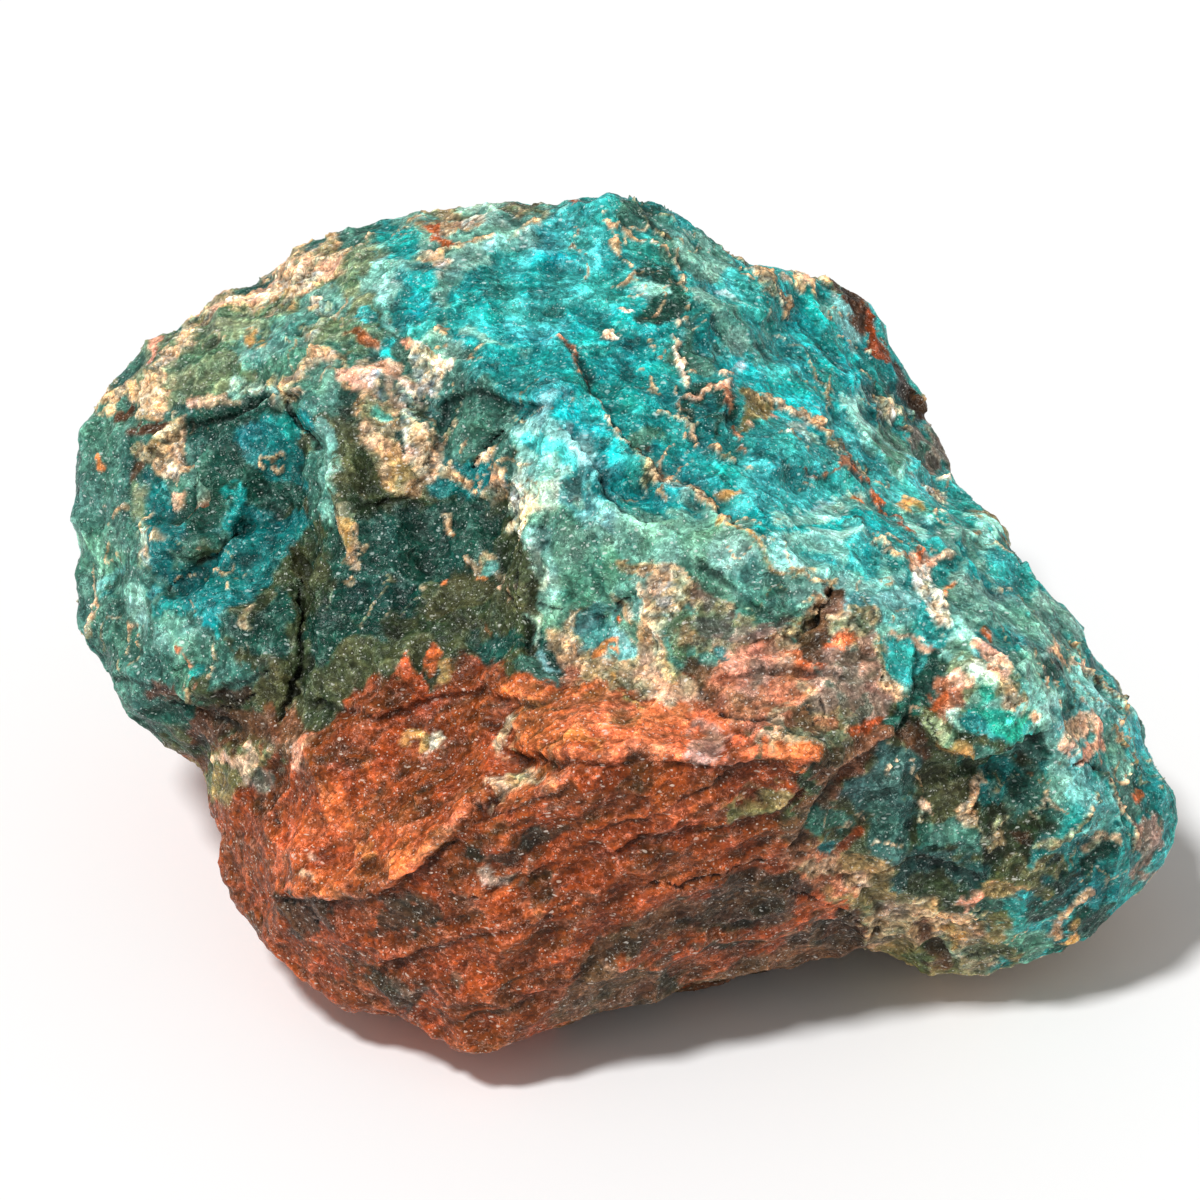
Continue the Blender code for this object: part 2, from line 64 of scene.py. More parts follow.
# Colours as linear red, green, blue, and how lumpy the crust is where the colour lies.
PALETTE = {
    "bottle": (0.006, 0.058, 0.04, 0.0),
    "slate": (0.045, 0.155, 0.115, 0.05),
    "deep_teal": (0.004, 0.16, 0.155, 0.0),
    "teal": (0.02, 0.3, 0.275, 0.0),
    "turquoise": (0.005, 0.47, 0.455, 0.0),
    "jade": (0.02, 0.42, 0.29, 0.05),
    "steel": (0.03, 0.1, 0.085, 0.0),
    "aqua": (0.06, 0.53, 0.51, 0.0),
    "mint": (0.3, 0.72, 0.61, 0.1),
    "pale_mint": (0.53, 0.76, 0.6, 0.35),
    "pale_blue": (0.17, 0.48, 0.45, 0.0),
    "ice": (0.46, 0.84, 0.84, 0.0),
    "sea_grey": (0.16, 0.39, 0.31, 0.1),
    "leaf": (0.1, 0.28, 0.19, 0.1),
    "emerald": (0.004, 0.32, 0.3, 0.0),
    "olive": (0.25, 0.19, 0.07, 0.3),
    "moss": (0.2, 0.28, 0.15, 0.25),
    "dark_olive": (0.05, 0.065, 0.025, 0.2),
    "gold": (0.55, 0.32, 0.1, 0.4),
    "cream": (0.86, 0.74, 0.52, 1.0),
    "chalk": (1.0, 0.92, 0.74, 1.0),
    "tan": (0.62, 0.46, 0.26, 0.9),
    "dull_tan": (0.41, 0.3, 0.165, 0.6),
    "clay": (0.42, 0.165, 0.08, 0.4),
    "rust": (0.55, 0.13, 0.032, 0.4),
    "orange": (0.84, 0.26, 0.065, 0.3),
    "peach": (0.88, 0.53, 0.33, 0.5),
    "flame": (0.72, 0.175, 0.06, 0.0),
    "brick": (0.4, 0.085, 0.02, 0.0),
    "dark_brick": (0.22, 0.045, 0.008, 0.0),
    "brown": (0.13, 0.06, 0.025, 0.1),
    "umber": (0.065, 0.03, 0.013, 0.1),
    "mauve": (0.42, 0.235, 0.165, 0.1),
    "grey_mauve": (0.29, 0.205, 0.15, 0.2),
    "pink": (0.8, 0.36, 0.22, 0.1),
}

# Strokes of colour as (colour, brush radius, points as (right, up) on the picture plane), broad ones
# first. Each later stroke covers the earlier ones.
GROUND = [
    ("teal", 10, [(-4, 34), (6, 30), (16, 24), (26, 14), (36, 6), (44, -4), (50, -14), (50, -24)]),
    ("slate", 7, [(-20, 34), (-30, 30), (-38, 26), (-46, 18), (-51, 8), (-50, 0)]),
    ("dark_olive", 7, [(-37, 13), (-25, 10), (-24, 0), (-14, 6), (-14, -2), (-34, -6)]),
    ("sea_grey", 6, [(-4, 6), (6, 6), (14, 4), (24, 2)]),
    ("dark_brick", 9, [(-30, -18), (-32, -28), (-22, -26), (-14, -16), (-2, -16), (-14, -33), (4, -22)]),
    ("dark_brick", 6, [(2, -26), (12, -24), (0, -32)]),
    ("brown", 5.5, [(-2, -36), (5, -33), (13, -31), (20, -30)]),
    ("dark_olive", 7, [(24, -17), (31, -17), (38, -19), (34, -24)]),
    ("teal", 6, [(48, -20), (46, -27), (40, -32)]),
    ("olive", 4.5, [(20, -25), (26, -29), (31, -31), (36, -32)]),
]

TOP_AND_LEFT = [
    ("moss", 4.2, [(-44, 25), (-38, 27.5), (-30, 30), (-25, 33.5)]),
    ("leaf", 2.0, [(-34, 25.5), (-29, 25)]),
    ("sea_grey", 1.5, [(-37, 27), (-33.5, 28.4), (-29, 32)]),
    ("tan", 1.6, [(-28.5, 36.5), (-31, 34.5), (-36, 32), (-40, 31.5), (-43, 29.8)]),
    ("peach", 1.2, [(-29.5, 35.5), (-31.5, 34.2), (-33.5, 33.8), (-36, 31.8), (-38, 31.9), (-40, 31.5)]),
    ("cream", 0.9, [(-31, 34.6), (-33, 33.6), (-36.5, 32)]),
    ("cream", 0.6, [(-37.5, 31.8), (-38.3, 31.6)]),
    ("tan", 1.0, [(-42.8, 29.5), (-44, 27.2), (-45.5, 25), (-46.7, 23), (-46.9, 20.5)]),
    ("tan", 0.8, [(-46.7, 24), (-50, 23.5), (-53, 21.5)]),
    ("pink", 0.5, [(-46, 27.7), (-46.3, 27)]),
    ("cream", 0.6, [(-29.5, 31), (-30.5, 28.5)]),
    ("gold", 0.5, [(-36, 28.5), (-36.6, 28.2)]),
    ("umber", 0.8, [(-49.5, 21.5), (-50.3, 20.8)]),
    ("peach", 1.0, [(-42.5, 21.2), (-40.5, 21.5), (-38.5, 22)]),
    ("pale_mint", 1.2, [(-38.4, 23.8), (-36, 23), (-34.4, 22.4)]),
    ("cream", 0.5, [(-36.8, 23.4), (-35.6, 22.6)]),
    ("tan", 0.9, [(-33.5, 23.5), (-31.5, 25), (-30, 26)]),
    ("umber", 1.1, [(-47.7, 18.5), (-46, 18)]),
    ("peach", 0.8, [(-42.2, 18.5), (-43, 18)]),
    ("tan", 1.2, [(-47.5, 15.5), (-45, 16), (-44.5, 17.5)]),
    ("peach", 0.6, [(-44, 13), (-44.3, 11.8)]),
    ("brown", 0.7, [(-49, 13), (-48.6, 14.4)]),
    ("orange", 0.45, [(-52.2, 16.3), (-52, 15.8)]),
    ("moss", 1.3, [(-48.5, 11.6), (-47.8, 9.5), (-47.2, 8), (-47.5, 6), (-49.5, 5), (-50, 3.5)]),
    ("pale_mint", 0.6, [(-48, 10.4), (-47.4, 8.4), (-47.6, 6.4)]),
    ("tan", 0.4, [(-47.2, 7), (-48.8, 5.2)]),
]

BOWL = [
    ("bottle", 3.0, [(-40, 18.5), (-36, 19.5), (-41.5, 10)]),
    ("deep_teal", 2.3, [(-36, 17), (-34, 14), (-34.5, 19)]),
    ("bottle", 2.4, [(-38.5, 14.5), (-35, 12)]),
    ("emerald", 1.0, [(-38.7, 12.2), (-38.4, 12.8)]),
    ("bottle", 0.5, [(-38.9, 12.9), (-38.3, 13.2)]),
    ("deep_teal", 2.6, [(-38, 9), (-34, 8), (-37, 6), (-40, 4.5)]),
    ("deep_teal", 1.4, [(-36, 9.6), (-34, 9), (-32, 8.6)]),
    ("deep_teal", 0.7, [(-31.5, 21), (-31, 20), (-30.3, 18.6)]),
    ("sea_grey", 1.4, [(-29.2, 18), (-28.7, 14), (-27.7, 9.5)]),
    ("slate", 1.3, [(-31.2, 15), (-30.8, 11)]),
]

LEFT_LOBE = [
    ("slate", 3.2, [(-51, 9), (-51, 3), (-47, 1), (-42, 1), (-44, -3), (-50, -1)]),
    ("deep_teal", 1.5, [(-45.6, 8), (-45, 5.4), (-46, 13)]),
    ("deep_teal", 1.1, [(-50, 1.6), (-49.4, -0.6), (-46, 2.6)]),
    ("emerald", 1.0, [(-41.4, 0), (-39.8, -1.4), (-41.6, -4.4)]),
    ("sea_grey", 1.0, [(-44.4, -0.6), (-43.4, -2.4), (-45.4, -3.6)]),
    ("pale_blue", 0.7, [(-50.4, 5.2), (-51.4, 3.6)]),
    ("leaf", 1.8, [(-52, 8), (-51, 6.4)]),
    ("slate", 1.7, [(-48, 3), (-47, 0), (-51.5, 0)]),
    ("sea_grey", 1.2, [(-48.2, 2.2), (-47.2, 0.5)]),
    ("teal", 1.0, [(-44.5, 1), (-41, 1.4)]),
    ("deep_teal", 1.5, [(-42.8, 3.6), (-38, 3.2)]),
    ("slate", 1.4, [(-48, -3), (-45, -5), (-50, -3)]),
    ("leaf", 1.2, [(-44, -5.5), (-43, -7.2)]),
    ("slate", 1.3, [(-42, -3), (-39.5, -4), (-38, -5.5)]),
    ("bottle", 1.6, [(-38.5, -1), (-35.5, -1.5), (-34.5, 1)]),
    ("tan", 0.35, [(-37, 1.5), (-37.2, -0.5)]),
    ("umber", 0.9, [(-47, -7.5), (-45.8, -7.8)]),
    ("bottle", 1.4, [(-46, -9.4), (-44, -9.4)]),
    ("umber", 0.8, [(-38.8, -7.4), (-37.8, -7.2)]),
    ("umber", 1.6, [(-42.5, -10), (-40.5, -10), (-38, -9.6)]),
    ("brown", 1.8, [(-37, -10.2), (-36.2, -11.8), (-40.5, -14), (-38, -14)]),
    ("olive", 1.6, [(-39.5, -14), (-38, -16), (-36.5, -13.8), (-38.8, -17.2), (-40.8, -15.6)]),
    ("peach", 0.7, [(-39.3, -13.6), (-37.6, -14.4), (-37.2, -16.6), (-36.2, -13.2)]),
    ("brown", 1.5, [(-33.4, -9.6), (-33.6, -12.4)]),
    ("grey_mauve", 0.8, [(-35.2, -16), (-35.8, -17)]),
    ("pink", 0.8, [(-33, -13.2), (-33.4, -14.4)]),
    ("clay", 0.6, [(-31.6, -11.4), (-32.4, -12)]),
]

CRUST_PATCH = [
    ("cream", 1.6, [(-20, 26.5), (-18, 25.8), (-19.5, 23.5), (-21.2, 22.3)]),
    ("peach", 1.6, [(-27, 24.5), (-25, 24.6), (-23.5, 24), (-22, 21)]),
    ("chalk", 0.6, [(-26.6, 24.8), (-24.6, 23.8), (-22.6, 22.4)]),
    ("tan", 1.5, [(-24.5, 21), (-24, 19), (-20.8, 18), (-20.5, 16)]),
    ("dull_tan", 1.4, [(-25, 18.6), (-23, 15), (-21.5, 13)]),
    ("olive", 0.8, [(-23, 17), (-21.6, 15.2), (-22.8, 13.6)]),
    ("cream", 0.7, [(-20.6, 19.4), (-21.4, 17)]),
    ("mint", 0.7, [(-23.4, 20.2), (-23, 19.6)]),
    ("bottle", 0.5, [(-22, 18), (-21.8, 17.4)]),
    ("rust", 0.5, [(-26.5, 27.8), (-25.8, 27.6)]),
    ("pink", 0.5, [(-22, 28), (-21.4, 28.3)]),
    ("emerald", 0.8, [(-24, 27.5), (-24.3, 27)]),
    ("aqua", 0.8, [(-25.8, 30.5), (-25.4, 29.9)]),
    ("dull_tan", 0.9, [(-26, 12), (-26.5, 9.5), (-27, 7)]),
    ("gold", 0.6, [(-26.4, 10), (-26.8, 8)]),
    ("tan", 0.5, [(-17.5, 9.6), (-17.3, 8.8)]),
]

TOP = [
    ("sea_grey", 2.6, [(-21, 39), (-14, 40.5), (-8, 41.4)]),
    ("dull_tan", 1.0, [(-20, 39.6), (-15, 40.4), (-9, 41.6)]),
    ("pale_mint", 0.9, [(-16, 41), (-12.5, 40.6)]),
    ("rust", 0.6, [(-19.5, 39.3), (-17.5, 38)]),
    ("cream", 0.6, [(-19, 35.3), (-17.5, 34.5)]),
    ("brick", 0.5, [(-5.5, 41.2), (-4.8, 41.1)]),
    ("tan", 0.6, [(-20, 36.5), (-17, 37), (-15, 37.3), (-12, 37.8), (-9.5, 38.8), (-7, 39.8)]),
    ("sea_grey", 2.2, [(-22.5, 36), (-23.8, 33)]),
    ("emerald", 1.3, [(-22, 38), (-22.8, 37.5)]),
    ("mint", 0.8, [(-24, 36.5), (-24.3, 32), (-23.5, 30)]),
    ("teal", 2.2, [(-20, 33.4), (-21, 31), (-18, 30)]),
    ("turquoise", 1.0, [(-19.6, 33.8), (-20.4, 32.4)]),
    ("sea_grey", 2.2, [(-16, 34.6), (-12, 35.6), (-17, 28)]),
    ("pale_blue", 1.5, [(-12, 37), (-8, 38)]),
    ("slate", 1.8, [(1, 40.4), (5, 38.6), (9, 36)]),
    ("sea_grey", 0.9, [(4.5, 39.6), (7.6, 37.6), (10, 35.6)]),
]

TEAL_SLOPE = [
    ("teal", 3.2, [(-13, 32), (-9, 34), (-2, 34), (2, 36)]),
    ("aqua", 3.2, [(-8, 33), (-5, 36.4), (-10, 30)]),
    ("teal", 1.6, [(-1, 37.4), (1.2, 35.8), (-3, 31)]),
    ("turquoise", 0.9, [(-8.6, 34), (-6, 36.6)]),
    ("emerald", 1.8, [(-14.5, 32.4), (-13, 31)]),
    ("emerald", 3.6, [(1.5, 30), (2.6, 25), (1, 21)]),
    ("bottle", 2.0, [(4, 34), (3.6, 31)]),
    ("emerald", 2.4, [(-15, 30), (-12, 28), (-8, 26)]),
    ("sea_grey", 0.8, [(-14.6, 29.2), (-11.6, 27.6), (-9, 26.6)]),
    ("emerald", 2.2, [(-11.6, 26), (-7, 24), (-5, 21), (-2, 17.4), (0, 15)]),
    ("teal", 0.9, [(-9.4, 24.6), (-6.4, 22.8), (-4, 20), (-1.8, 16.8), (1, 14.6)]),
    ("turquoise", 0.5, [(-5.6, 22), (-3.4, 19), (-1, 16)]),
    ("emerald", 1.8, [(-4.4, 29), (-3, 26), (-1.4, 23.4)]),
    ("deep_teal", 1.2, [(-3.4, 30.6), (-1.6, 28), (0.4, 25)]),
    ("cream", 0.5, [(0, 31.8), (0.4, 31.4)]),
    ("cream", 0.8, [(-1.2, 28), (-0.8, 27.6)]),
    ("mint", 0.7, [(2.3, 34), (2.8, 33.6)]),
    ("leaf", 1.2, [(3, 18.6), (1.6, 17)]),
    ("dark_brick", 0.5, [(3.8, 17), (4.4, 16.6)]),
    ("emerald", 2.0, [(6, 17), (8, 14.8), (11, 14.2)]),
    ("aqua", 2.6, [(13, 13), (17, 13.4), (20, 12.6)]),
    ("deep_teal", 1.5, [(5.4, 16.4), (7, 15)]),
]

MIDDLE_BAND = [
    ("teal", 1.7, [(-1.4, 13.2), (0.4, 12.2), (2.4, 12.4), (0, 14)]),
    # Painted shade: a deep teal band where the slope beyond the arete lies in shade.
    ("deep_teal", 1.0, [(-3.2, 16.8), (-1.8, 14.6), (0.2, 13), (2.6, 12), (5, 11.4), (8.2, 10.8)]),
    ("sea_grey", 0.6, [(6.4, 12.8), (8.6, 11.8)]),
    ("emerald", 1.0, [(-0.6, 13), (1.6, 12.4), (4, 11.9), (6.4, 11.3), (8.4, 10.8)]),
    # Painted highlight: a thin mint line along the arete's crest.
    ("mint", 0.4, [(-2.2, 14.4), (-1.6, 12.4), (0, 10.7), (2, 9.6), (4.4, 9.2), (7, 9.6)]),
    ("mint", 2.0, [(-8.4, 19), (-7, 16), (-5.4, 14), (-8, 14)]),
    ("pale_blue", 1.3, [(-6.6, 21.4), (-6, 19.4), (-5, 16.6), (-4, 14.6)]),
    ("aqua", 0.9, [(-6.8, 16.6), (-5.6, 15.4), (-7.8, 17.4)]),
    ("pale_mint", 1.6, [(-8.6, 13.4), (-7, 12.2), (-9.6, 12), (-6.2, 11.2)]),
    ("cream", 1.0, [(-10.2, 12), (-9, 11.2), (-8.2, 10.2), (-8, 9.2)]),
    ("pale_blue", 1.6, [(-4.4, 12.4), (-2.6, 11.6), (-1.2, 10)]),
    ("pale_mint", 0.5, [(-3, 12.6), (-2, 11)]),
    ("leaf", 3.2, [(-5.4, 8), (-4, 4), (-5, 1), (-2.4, 6)]),
    ("sea_grey", 1.3, [(-7.4, 6.6), (-7.6, 3), (-7, 8)]),
    # Painted highlight: a pale line along the rib's edge.
    ("pale_mint", 0.6, [(-8.1, 7.4), (-8.3, 5.8), (-8.7, 4)]),
    ("sea_grey", 1.8, [(1, 9), (3.4, 8.6), (6, 9.4), (9, 9.6), (12, 8.8)]),
    ("aqua", 1.8, [(17.6, 7.6), (21, 7), (24, 6.4)]),
    ("mint", 1.3, [(16.4, 6.6), (20, 5.4), (23.4, 5)]),
    ("mint", 0.8, [(17, 8), (20, 8.2), (22.6, 7.6)]),
    ("leaf", 1.2, [(7, 7.6), (9, 8.4), (11.4, 7.6), (13, 6.8)]),
    ("gold", 0.35, [(10, 10), (11.3, 9), (13.3, 8.3), (15, 6.3), (17.5, 5.3), (19, 4.5)]),
    ("leaf", 3.0, [(8, 5.6), (12, 5), (16, 2.6)]),
    ("sea_grey", 1.9, [(11, 6.6), (14, 4.4), (17.4, 3.4)]),
    ("grey_mauve", 1.5, [(6.4, 3), (8.8, 2), (11, 0.6)]),
    ("dull_tan", 0.8, [(7.6, 1.8), (9.4, 0.4), (11, 2)]),
]

FACE_UNDER_BROW = [
    ("slate", 2.6, [(-16.5, 22), (-14, 19), (-18, 18), (-12, 21)]),
    ("deep_teal", 1.8, [(-18, 14.6), (-14, 13.4), (-12, 16)]),
    ("deep_teal", 1.2, [(-15.4, 14.2), (-14.2, 13), (-15.6, 12.2)]),
    ("slate", 1.2, [(-11.6, 18), (-11.2, 15)]),
    ("tan", 0.8, [(-13, 14.6), (-12.6, 13.4), (-13.6, 11.4)]),
    ("cream", 0.5, [(-13.4, 16.9), (-14.6, 15.6)]),
    ("bottle", 2.8, [(-18, 9), (-14.6, 9.6), (-12.4, 8), (-17, 5)]),
    ("dark_olive", 2.6, [(-15.6, 2.6), (-12.4, 3.4), (-11.6, 0.8)]),
    ("dull_tan", 0.6, [(-14.6, 6.3), (-13, 5.6), (-12, 6.5), (-11.3, 4.5), (-10.8, 3)]),
    ("peach", 0.4, [(-11, 2.3), (-10.7, 2.9)]),
    ("mint", 0.7, [(-12.4, 5), (-11.8, 5.4)]),
    ("orange", 0.35, [(-17.8, 3.2), (-17.6, 2.9)]),
    ("orange", 0.35, [(-13.4, 4.4), (-13.4, 4)]),
    ("orange", 0.4, [(-17.4, 9.4), (-17.2, 8.6)]),
    ("rust", 0.4, [(-13.4, -0.5), (-13.1, -0.8)]),
    ("bottle", 3.4, [(-27, 7), (-22, 7), (-24, 2), (-28, -1)]),
    ("dark_olive", 2.6, [(-22, -1), (-18, -1.4), (-14.4, -2.4), (-26, -5)]),
    ("bottle", 2.0, [(-12, -2.4), (-13.6, -4.4)]),
    ("dark_olive", 1.1, [(-19.6, -2.8), (-18.2, -2.4), (-15.4, -4.8)]),
    ("rust", 0.6, [(-18.6, -4.2), (-17.8, -5)]),
    ("gold", 0.9, [(-16.4, -6), (-15.8, -6.9)]),
    ("brick", 1.1, [(-22, -5), (-19.4, -6.4)]),
    # Painted shadow: a dark strip where shade falls left of the rib.
    ("dark_olive", 1.1, [(-9.7, 9), (-9.6, 6), (-9.8, 3), (-9.9, 0.5)]),
    ("pale_mint", 1.0, [(-8.3, 1), (-7.6, -0.4), (-8.7, -1.8)]),
    ("bottle", 1.8, [(-7, -1.4), (-6.4, -3.2)]),
    ("pale_blue", 0.7, [(-8, -3.9), (-7.4, -4.3)]),
    ("slate", 1.3, [(-8.6, -5.4), (-6.8, -5.9)]),
]

TAN_MIDDLE = [
    ("dull_tan", 2.6, [(-4.2, -1.5), (-3.4, -4.2), (-1.4, -6)]),
    ("tan", 2.2, [(1.4, 1.5), (3, -2), (2.6, -5)]),
    ("tan", 1.2, [(-4.4, -0.8), (-4, -3.4)]),
    ("clay", 1.0, [(-4.8, -4.4), (-3.8, -6.2)]),
    ("pale_blue", 1.4, [(-2.4, -0.6), (-1.2, -1.6), (-0.2, -2.6)]),
    ("leaf", 0.9, [(-0.6, -0.4), (0.8, -1)]),
    ("orange", 0.45, [(-1.8, -2.8), (-0.6, -2.9)]),
    ("rust", 0.3, [(-0.7, -0.3), (-0.4, -0.6)]),
    ("sea_grey", 1.2, [(0.6, 2.6), (1.8, 1)]),
    ("dull_tan", 1.0, [(0.6, 5.2), (2.4, 5.4)]),
    ("tan", 1.9, [(4.4, 4.2), (4.8, 2.4), (4, 0.6)]),
    ("cream", 0.9, [(4.6, 3.6), (5, 2)]),
    ("peach", 1.6, [(3.2, -2.4), (3.4, -4.6), (2.6, -6)]),
    ("cream", 0.6, [(3.6, -1.2), (3.8, -3)]),
    ("dull_tan", 0.9, [(0.6, -6), (1.8, -7.4)]),
    ("peach", 1.9, [(4.2, -7.2), (6, -8.6), (8, -9.6)]),
    ("tan", 0.9, [(4.4, -4.2), (4.8, -5.8)]),
    ("moss", 1.2, [(5.8, 0.2), (6.4, -1.6), (6.6, -3)]),
    ("dull_tan", 1.9, [(8, -1), (9.8, -2.2), (11.8, -1.2), (15, -1.2)]),
    ("grey_mauve", 1.0, [(9, -0.6), (13, -1.6), (17.6, 0.2)]),
    ("pale_blue", 0.6, [(10, -3.6), (10.8, -4)]),
    ("brown", 1.4, [(7.2, -5), (8.6, -5.6), (9, -7)]),
    ("umber", 0.9, [(14, -2.6), (15.8, -2.9)]),
]

BROWN_SHELF = [
    ("clay", 3.0, [(11.6, -6.6), (14, -6.4), (16.8, -6.8), (14, -9), (18, -8.4)]),
    ("dull_tan", 0.9, [(18.8, -7.6), (19.3, -8.6)]),
    ("mauve", 1.2, [(12.6, -5.6), (15.4, -5)]),
    ("pink", 1.1, [(11.4, -4.6), (12.6, -3.6), (14.6, -3.6), (16.6, -3.5)]),
    ("peach", 0.8, [(17.2, -2.5), (17.7, -2.7)]),
    ("flame", 0.9, [(17.8, -3.9), (20, -4.6), (21.6, -4)]),
    ("umber", 1.7, [(20.6, -0.6), (19.6, -2), (19.4, -3.2)]),
    ("brown", 1.1, [(20.8, 3), (20.8, 1.6), (20, 0.4), (18.6, -1)]),
    ("tan", 0.4, [(20, 2.2), (19.2, 0.6), (18.2, -0.2), (17.4, -0.9)]),
    ("tan", 1.6, [(22.4, -0.9), (24.4, -0.6), (23.4, -2.4)]),
    ("flame", 0.9, [(21.4, -3.4), (22.4, -2.6)]),
    ("grey_mauve", 2.6, [(21.6, -6.4), (24, -6.2), (23.4, -8.6), (20.4, -9.6)]),
    ("mauve", 1.4, [(24.8, -3.4), (25.6, -5)]),
    ("tan", 0.7, [(26.2, -3), (26.6, -5), (27.2, -6.4)]),
    ("dull_tan", 1.4, [(16.6, -10.6), (19, -11), (22, -10.4)]),
    ("clay", 0.9, [(18, -10.2), (20.6, -10.8)]),
    ("brick", 1.0, [(23.6, -11.2), (25.4, -10)]),
]

RED_MASS = [
    ("dark_brick", 3.4, [(-22, -9.6), (-18, -10.6), (-13.4, -8), (-20, -15.4)]),
    ("dark_brick", 2.4, [(-25.6, -10), (-27.6, -14), (-16, -13.6)]),
    ("rust", 1.3, [(-28.8, -18), (-28, -20.6), (-25.6, -20.4)]),
    ("brick", 2.6, [(-24, -19), (-22, -21.6), (-31.6, -23)]),
    ("orange", 0.8, [(-25, -21.6), (-24.8, -22.6)]),
    ("rust", 1.2, [(-30, -26.5), (-28, -26), (-26, -25.8), (-24, -25.2), (-22, -24.3), (-20.4, -23.6)]),
    ("peach", 0.4, [(-31, -24.4), (-30.8, -24.2)]),
    ("peach", 0.5, [(-32.1, -26.8), (-31.8, -26.6)]),
    ("brick", 0.9, [(-33.6, -27), (-32.8, -27.8)]),
    ("brick", 0.9, [(-15.8, -17.8), (-17, -19.4), (-18.4, -20.6), (-16.4, -20.8)]),
    ("brick", 1.1, [(-24.4, -15), (-23.4, -16.2)]),
    ("cream", 0.8, [(-20, -12.2), (-19.4, -13), (-20.2, -13.4)]),
    ("gold", 0.5, [(-21, -11.4), (-21.2, -12.8)]),
    ("brick", 1.5, [(-14, -12), (-12.6, -14)]),
    ("peach", 1.5, [(-13.4, -16.8), (-11.4, -15.6), (-9.4, -14.6)]),
    ("tan", 0.4, [(-12.4, -16.6), (-10.6, -15.2), (-12.6, -15)]),
    ("tan", 0.6, [(-12, -12), (-11.2, -11.2), (-10.4, -10.4)]),
    ("flame", 1.2, [(-12, -18.4), (-9.4, -17.4), (-7.4, -16.8)]),
    ("rust", 2.6, [(-8, -9), (-7.6, -12), (-5, -9.6), (-2.6, -8.6)]),
    ("rust", 1.4, [(-8.2, -8), (-6, -11), (-7.6, -13.6)]),
    ("flame", 2.2, [(-3.6, -10.6), (0, -9.6), (2.6, -11)]),
    ("flame", 1.3, [(-1.4, -11), (-0.8, -12.6)]),
    ("orange", 0.9, [(-5, -12.4), (-3.8, -13.1), (-2.8, -13.5)]),
    ("brick", 0.9, [(-4, -14.2), (-1.8, -14.3)]),
    ("flame", 1.8, [(2.8, -11.8), (5.4, -12), (6, -10.6)]),
    ("flame", 1.2, [(8.6, -10.3), (10.6, -10.8), (5, -13)]),
    ("mauve", 1.3, [(8.2, -12), (10.2, -12), (9.6, -13.4)]),
    ("flame", 0.8, [(12.4, -13), (13.6, -13.4)]),
    ("dull_tan", 0.9, [(15, -12.8), (17.4, -13), (20, -12.8), (22.6, -12.1)]),
    ("rust", 0.7, [(15, -13.8), (18, -14), (20.4, -13.6)]),
]

RED_LOWER = [
    ("dark_brick", 3.0, [(-14, -22), (-8, -20.4), (-20, -28), (-26, -29.6)]),
    ("dark_brick", 1.8, [(-4, -16), (2, -15.6), (7, -15.8), (-8, -19)]),
    ("brick", 0.6, [(0.6, -20), (4, -19.1), (7.4, -17), (9.8, -15.9)]),
    ("dark_brick", 2.0, [(10, -17.4), (13, -16.6), (16, -16)]),
    ("olive", 1.1, [(10.4, -19.6), (12.2, -18.9), (14.2, -18), (15.6, -16.8)]),
    ("dark_brick", 1.4, [(12.6, -21.2), (14.6, -20), (15.6, -21.6)]),
    ("grey_mauve", 1.0, [(-13.4, -25), (-11.4, -25.6)]),
    ("rust", 0.5, [(-14.2, -27), (-12, -26), (-10, -25)]),
    ("umber", 0.6, [(-16, -23.4), (-11, -22.4), (-6, -21.4)]),
    ("brick", 1.0, [(4.8, -25.4), (6.4, -25.4)]),
    ("brick", 0.9, [(-10, -28.4), (-8.4, -29)]),
    ("dark_brick", 2.0, [(-14, -31.6), (-8, -31.6), (-4, -30.6)]),
    ("brown", 0.6, [(-18, -36), (-17.6, -36.4)]),
    ("umber", 1.1, [(-24.4, -36.4), (-21.4, -37)]),
    ("umber", 1.5, [(-33, -29), (-31.4, -30)]),
    ("umber", 1.3, [(-24, -29.4), (-20, -29.6)]),
    ("brown", 3.0, [(-1.6, -34.6), (3, -32.6), (8, -30.4), (14, -29.6), (18, -31)]),
    ("umber", 0.8, [(-2, -34), (4, -31.6), (9, -29.4), (15, -28.8)]),
    ("umber", 0.7, [(2, -35.4), (8, -33.2), (14, -32), (19, -31.8)]),
    ("dark_brick", 0.6, [(0, -34.6), (6, -32.4), (12, -30.4), (17, -30.2)]),
    ("umber", 1.5, [(11, -26.4), (15, -27), (19, -27.4)]),
    ("dark_brick", 1.2, [(6, -34.6), (10, -33.6), (15, -32.6)]),
    ("brick", 1.1, [(17.8, -29.4), (19.8, -28.8), (21.4, -29.4)]),
    ("umber", 1.4, [(22, -31.6), (25, -31)]),
    ("clay", 2.2, [(17.4, -23.6), (19.6, -24.2), (21.6, -25.2)]),
    ("dull_tan", 1.0, [(18.4, -24.6), (21, -24.2), (23.4, -25.6)]),
    ("dark_brick", 2.0, [(-37, -19.6), (-37.6, -24.6), (-35.6, -30)]),
]

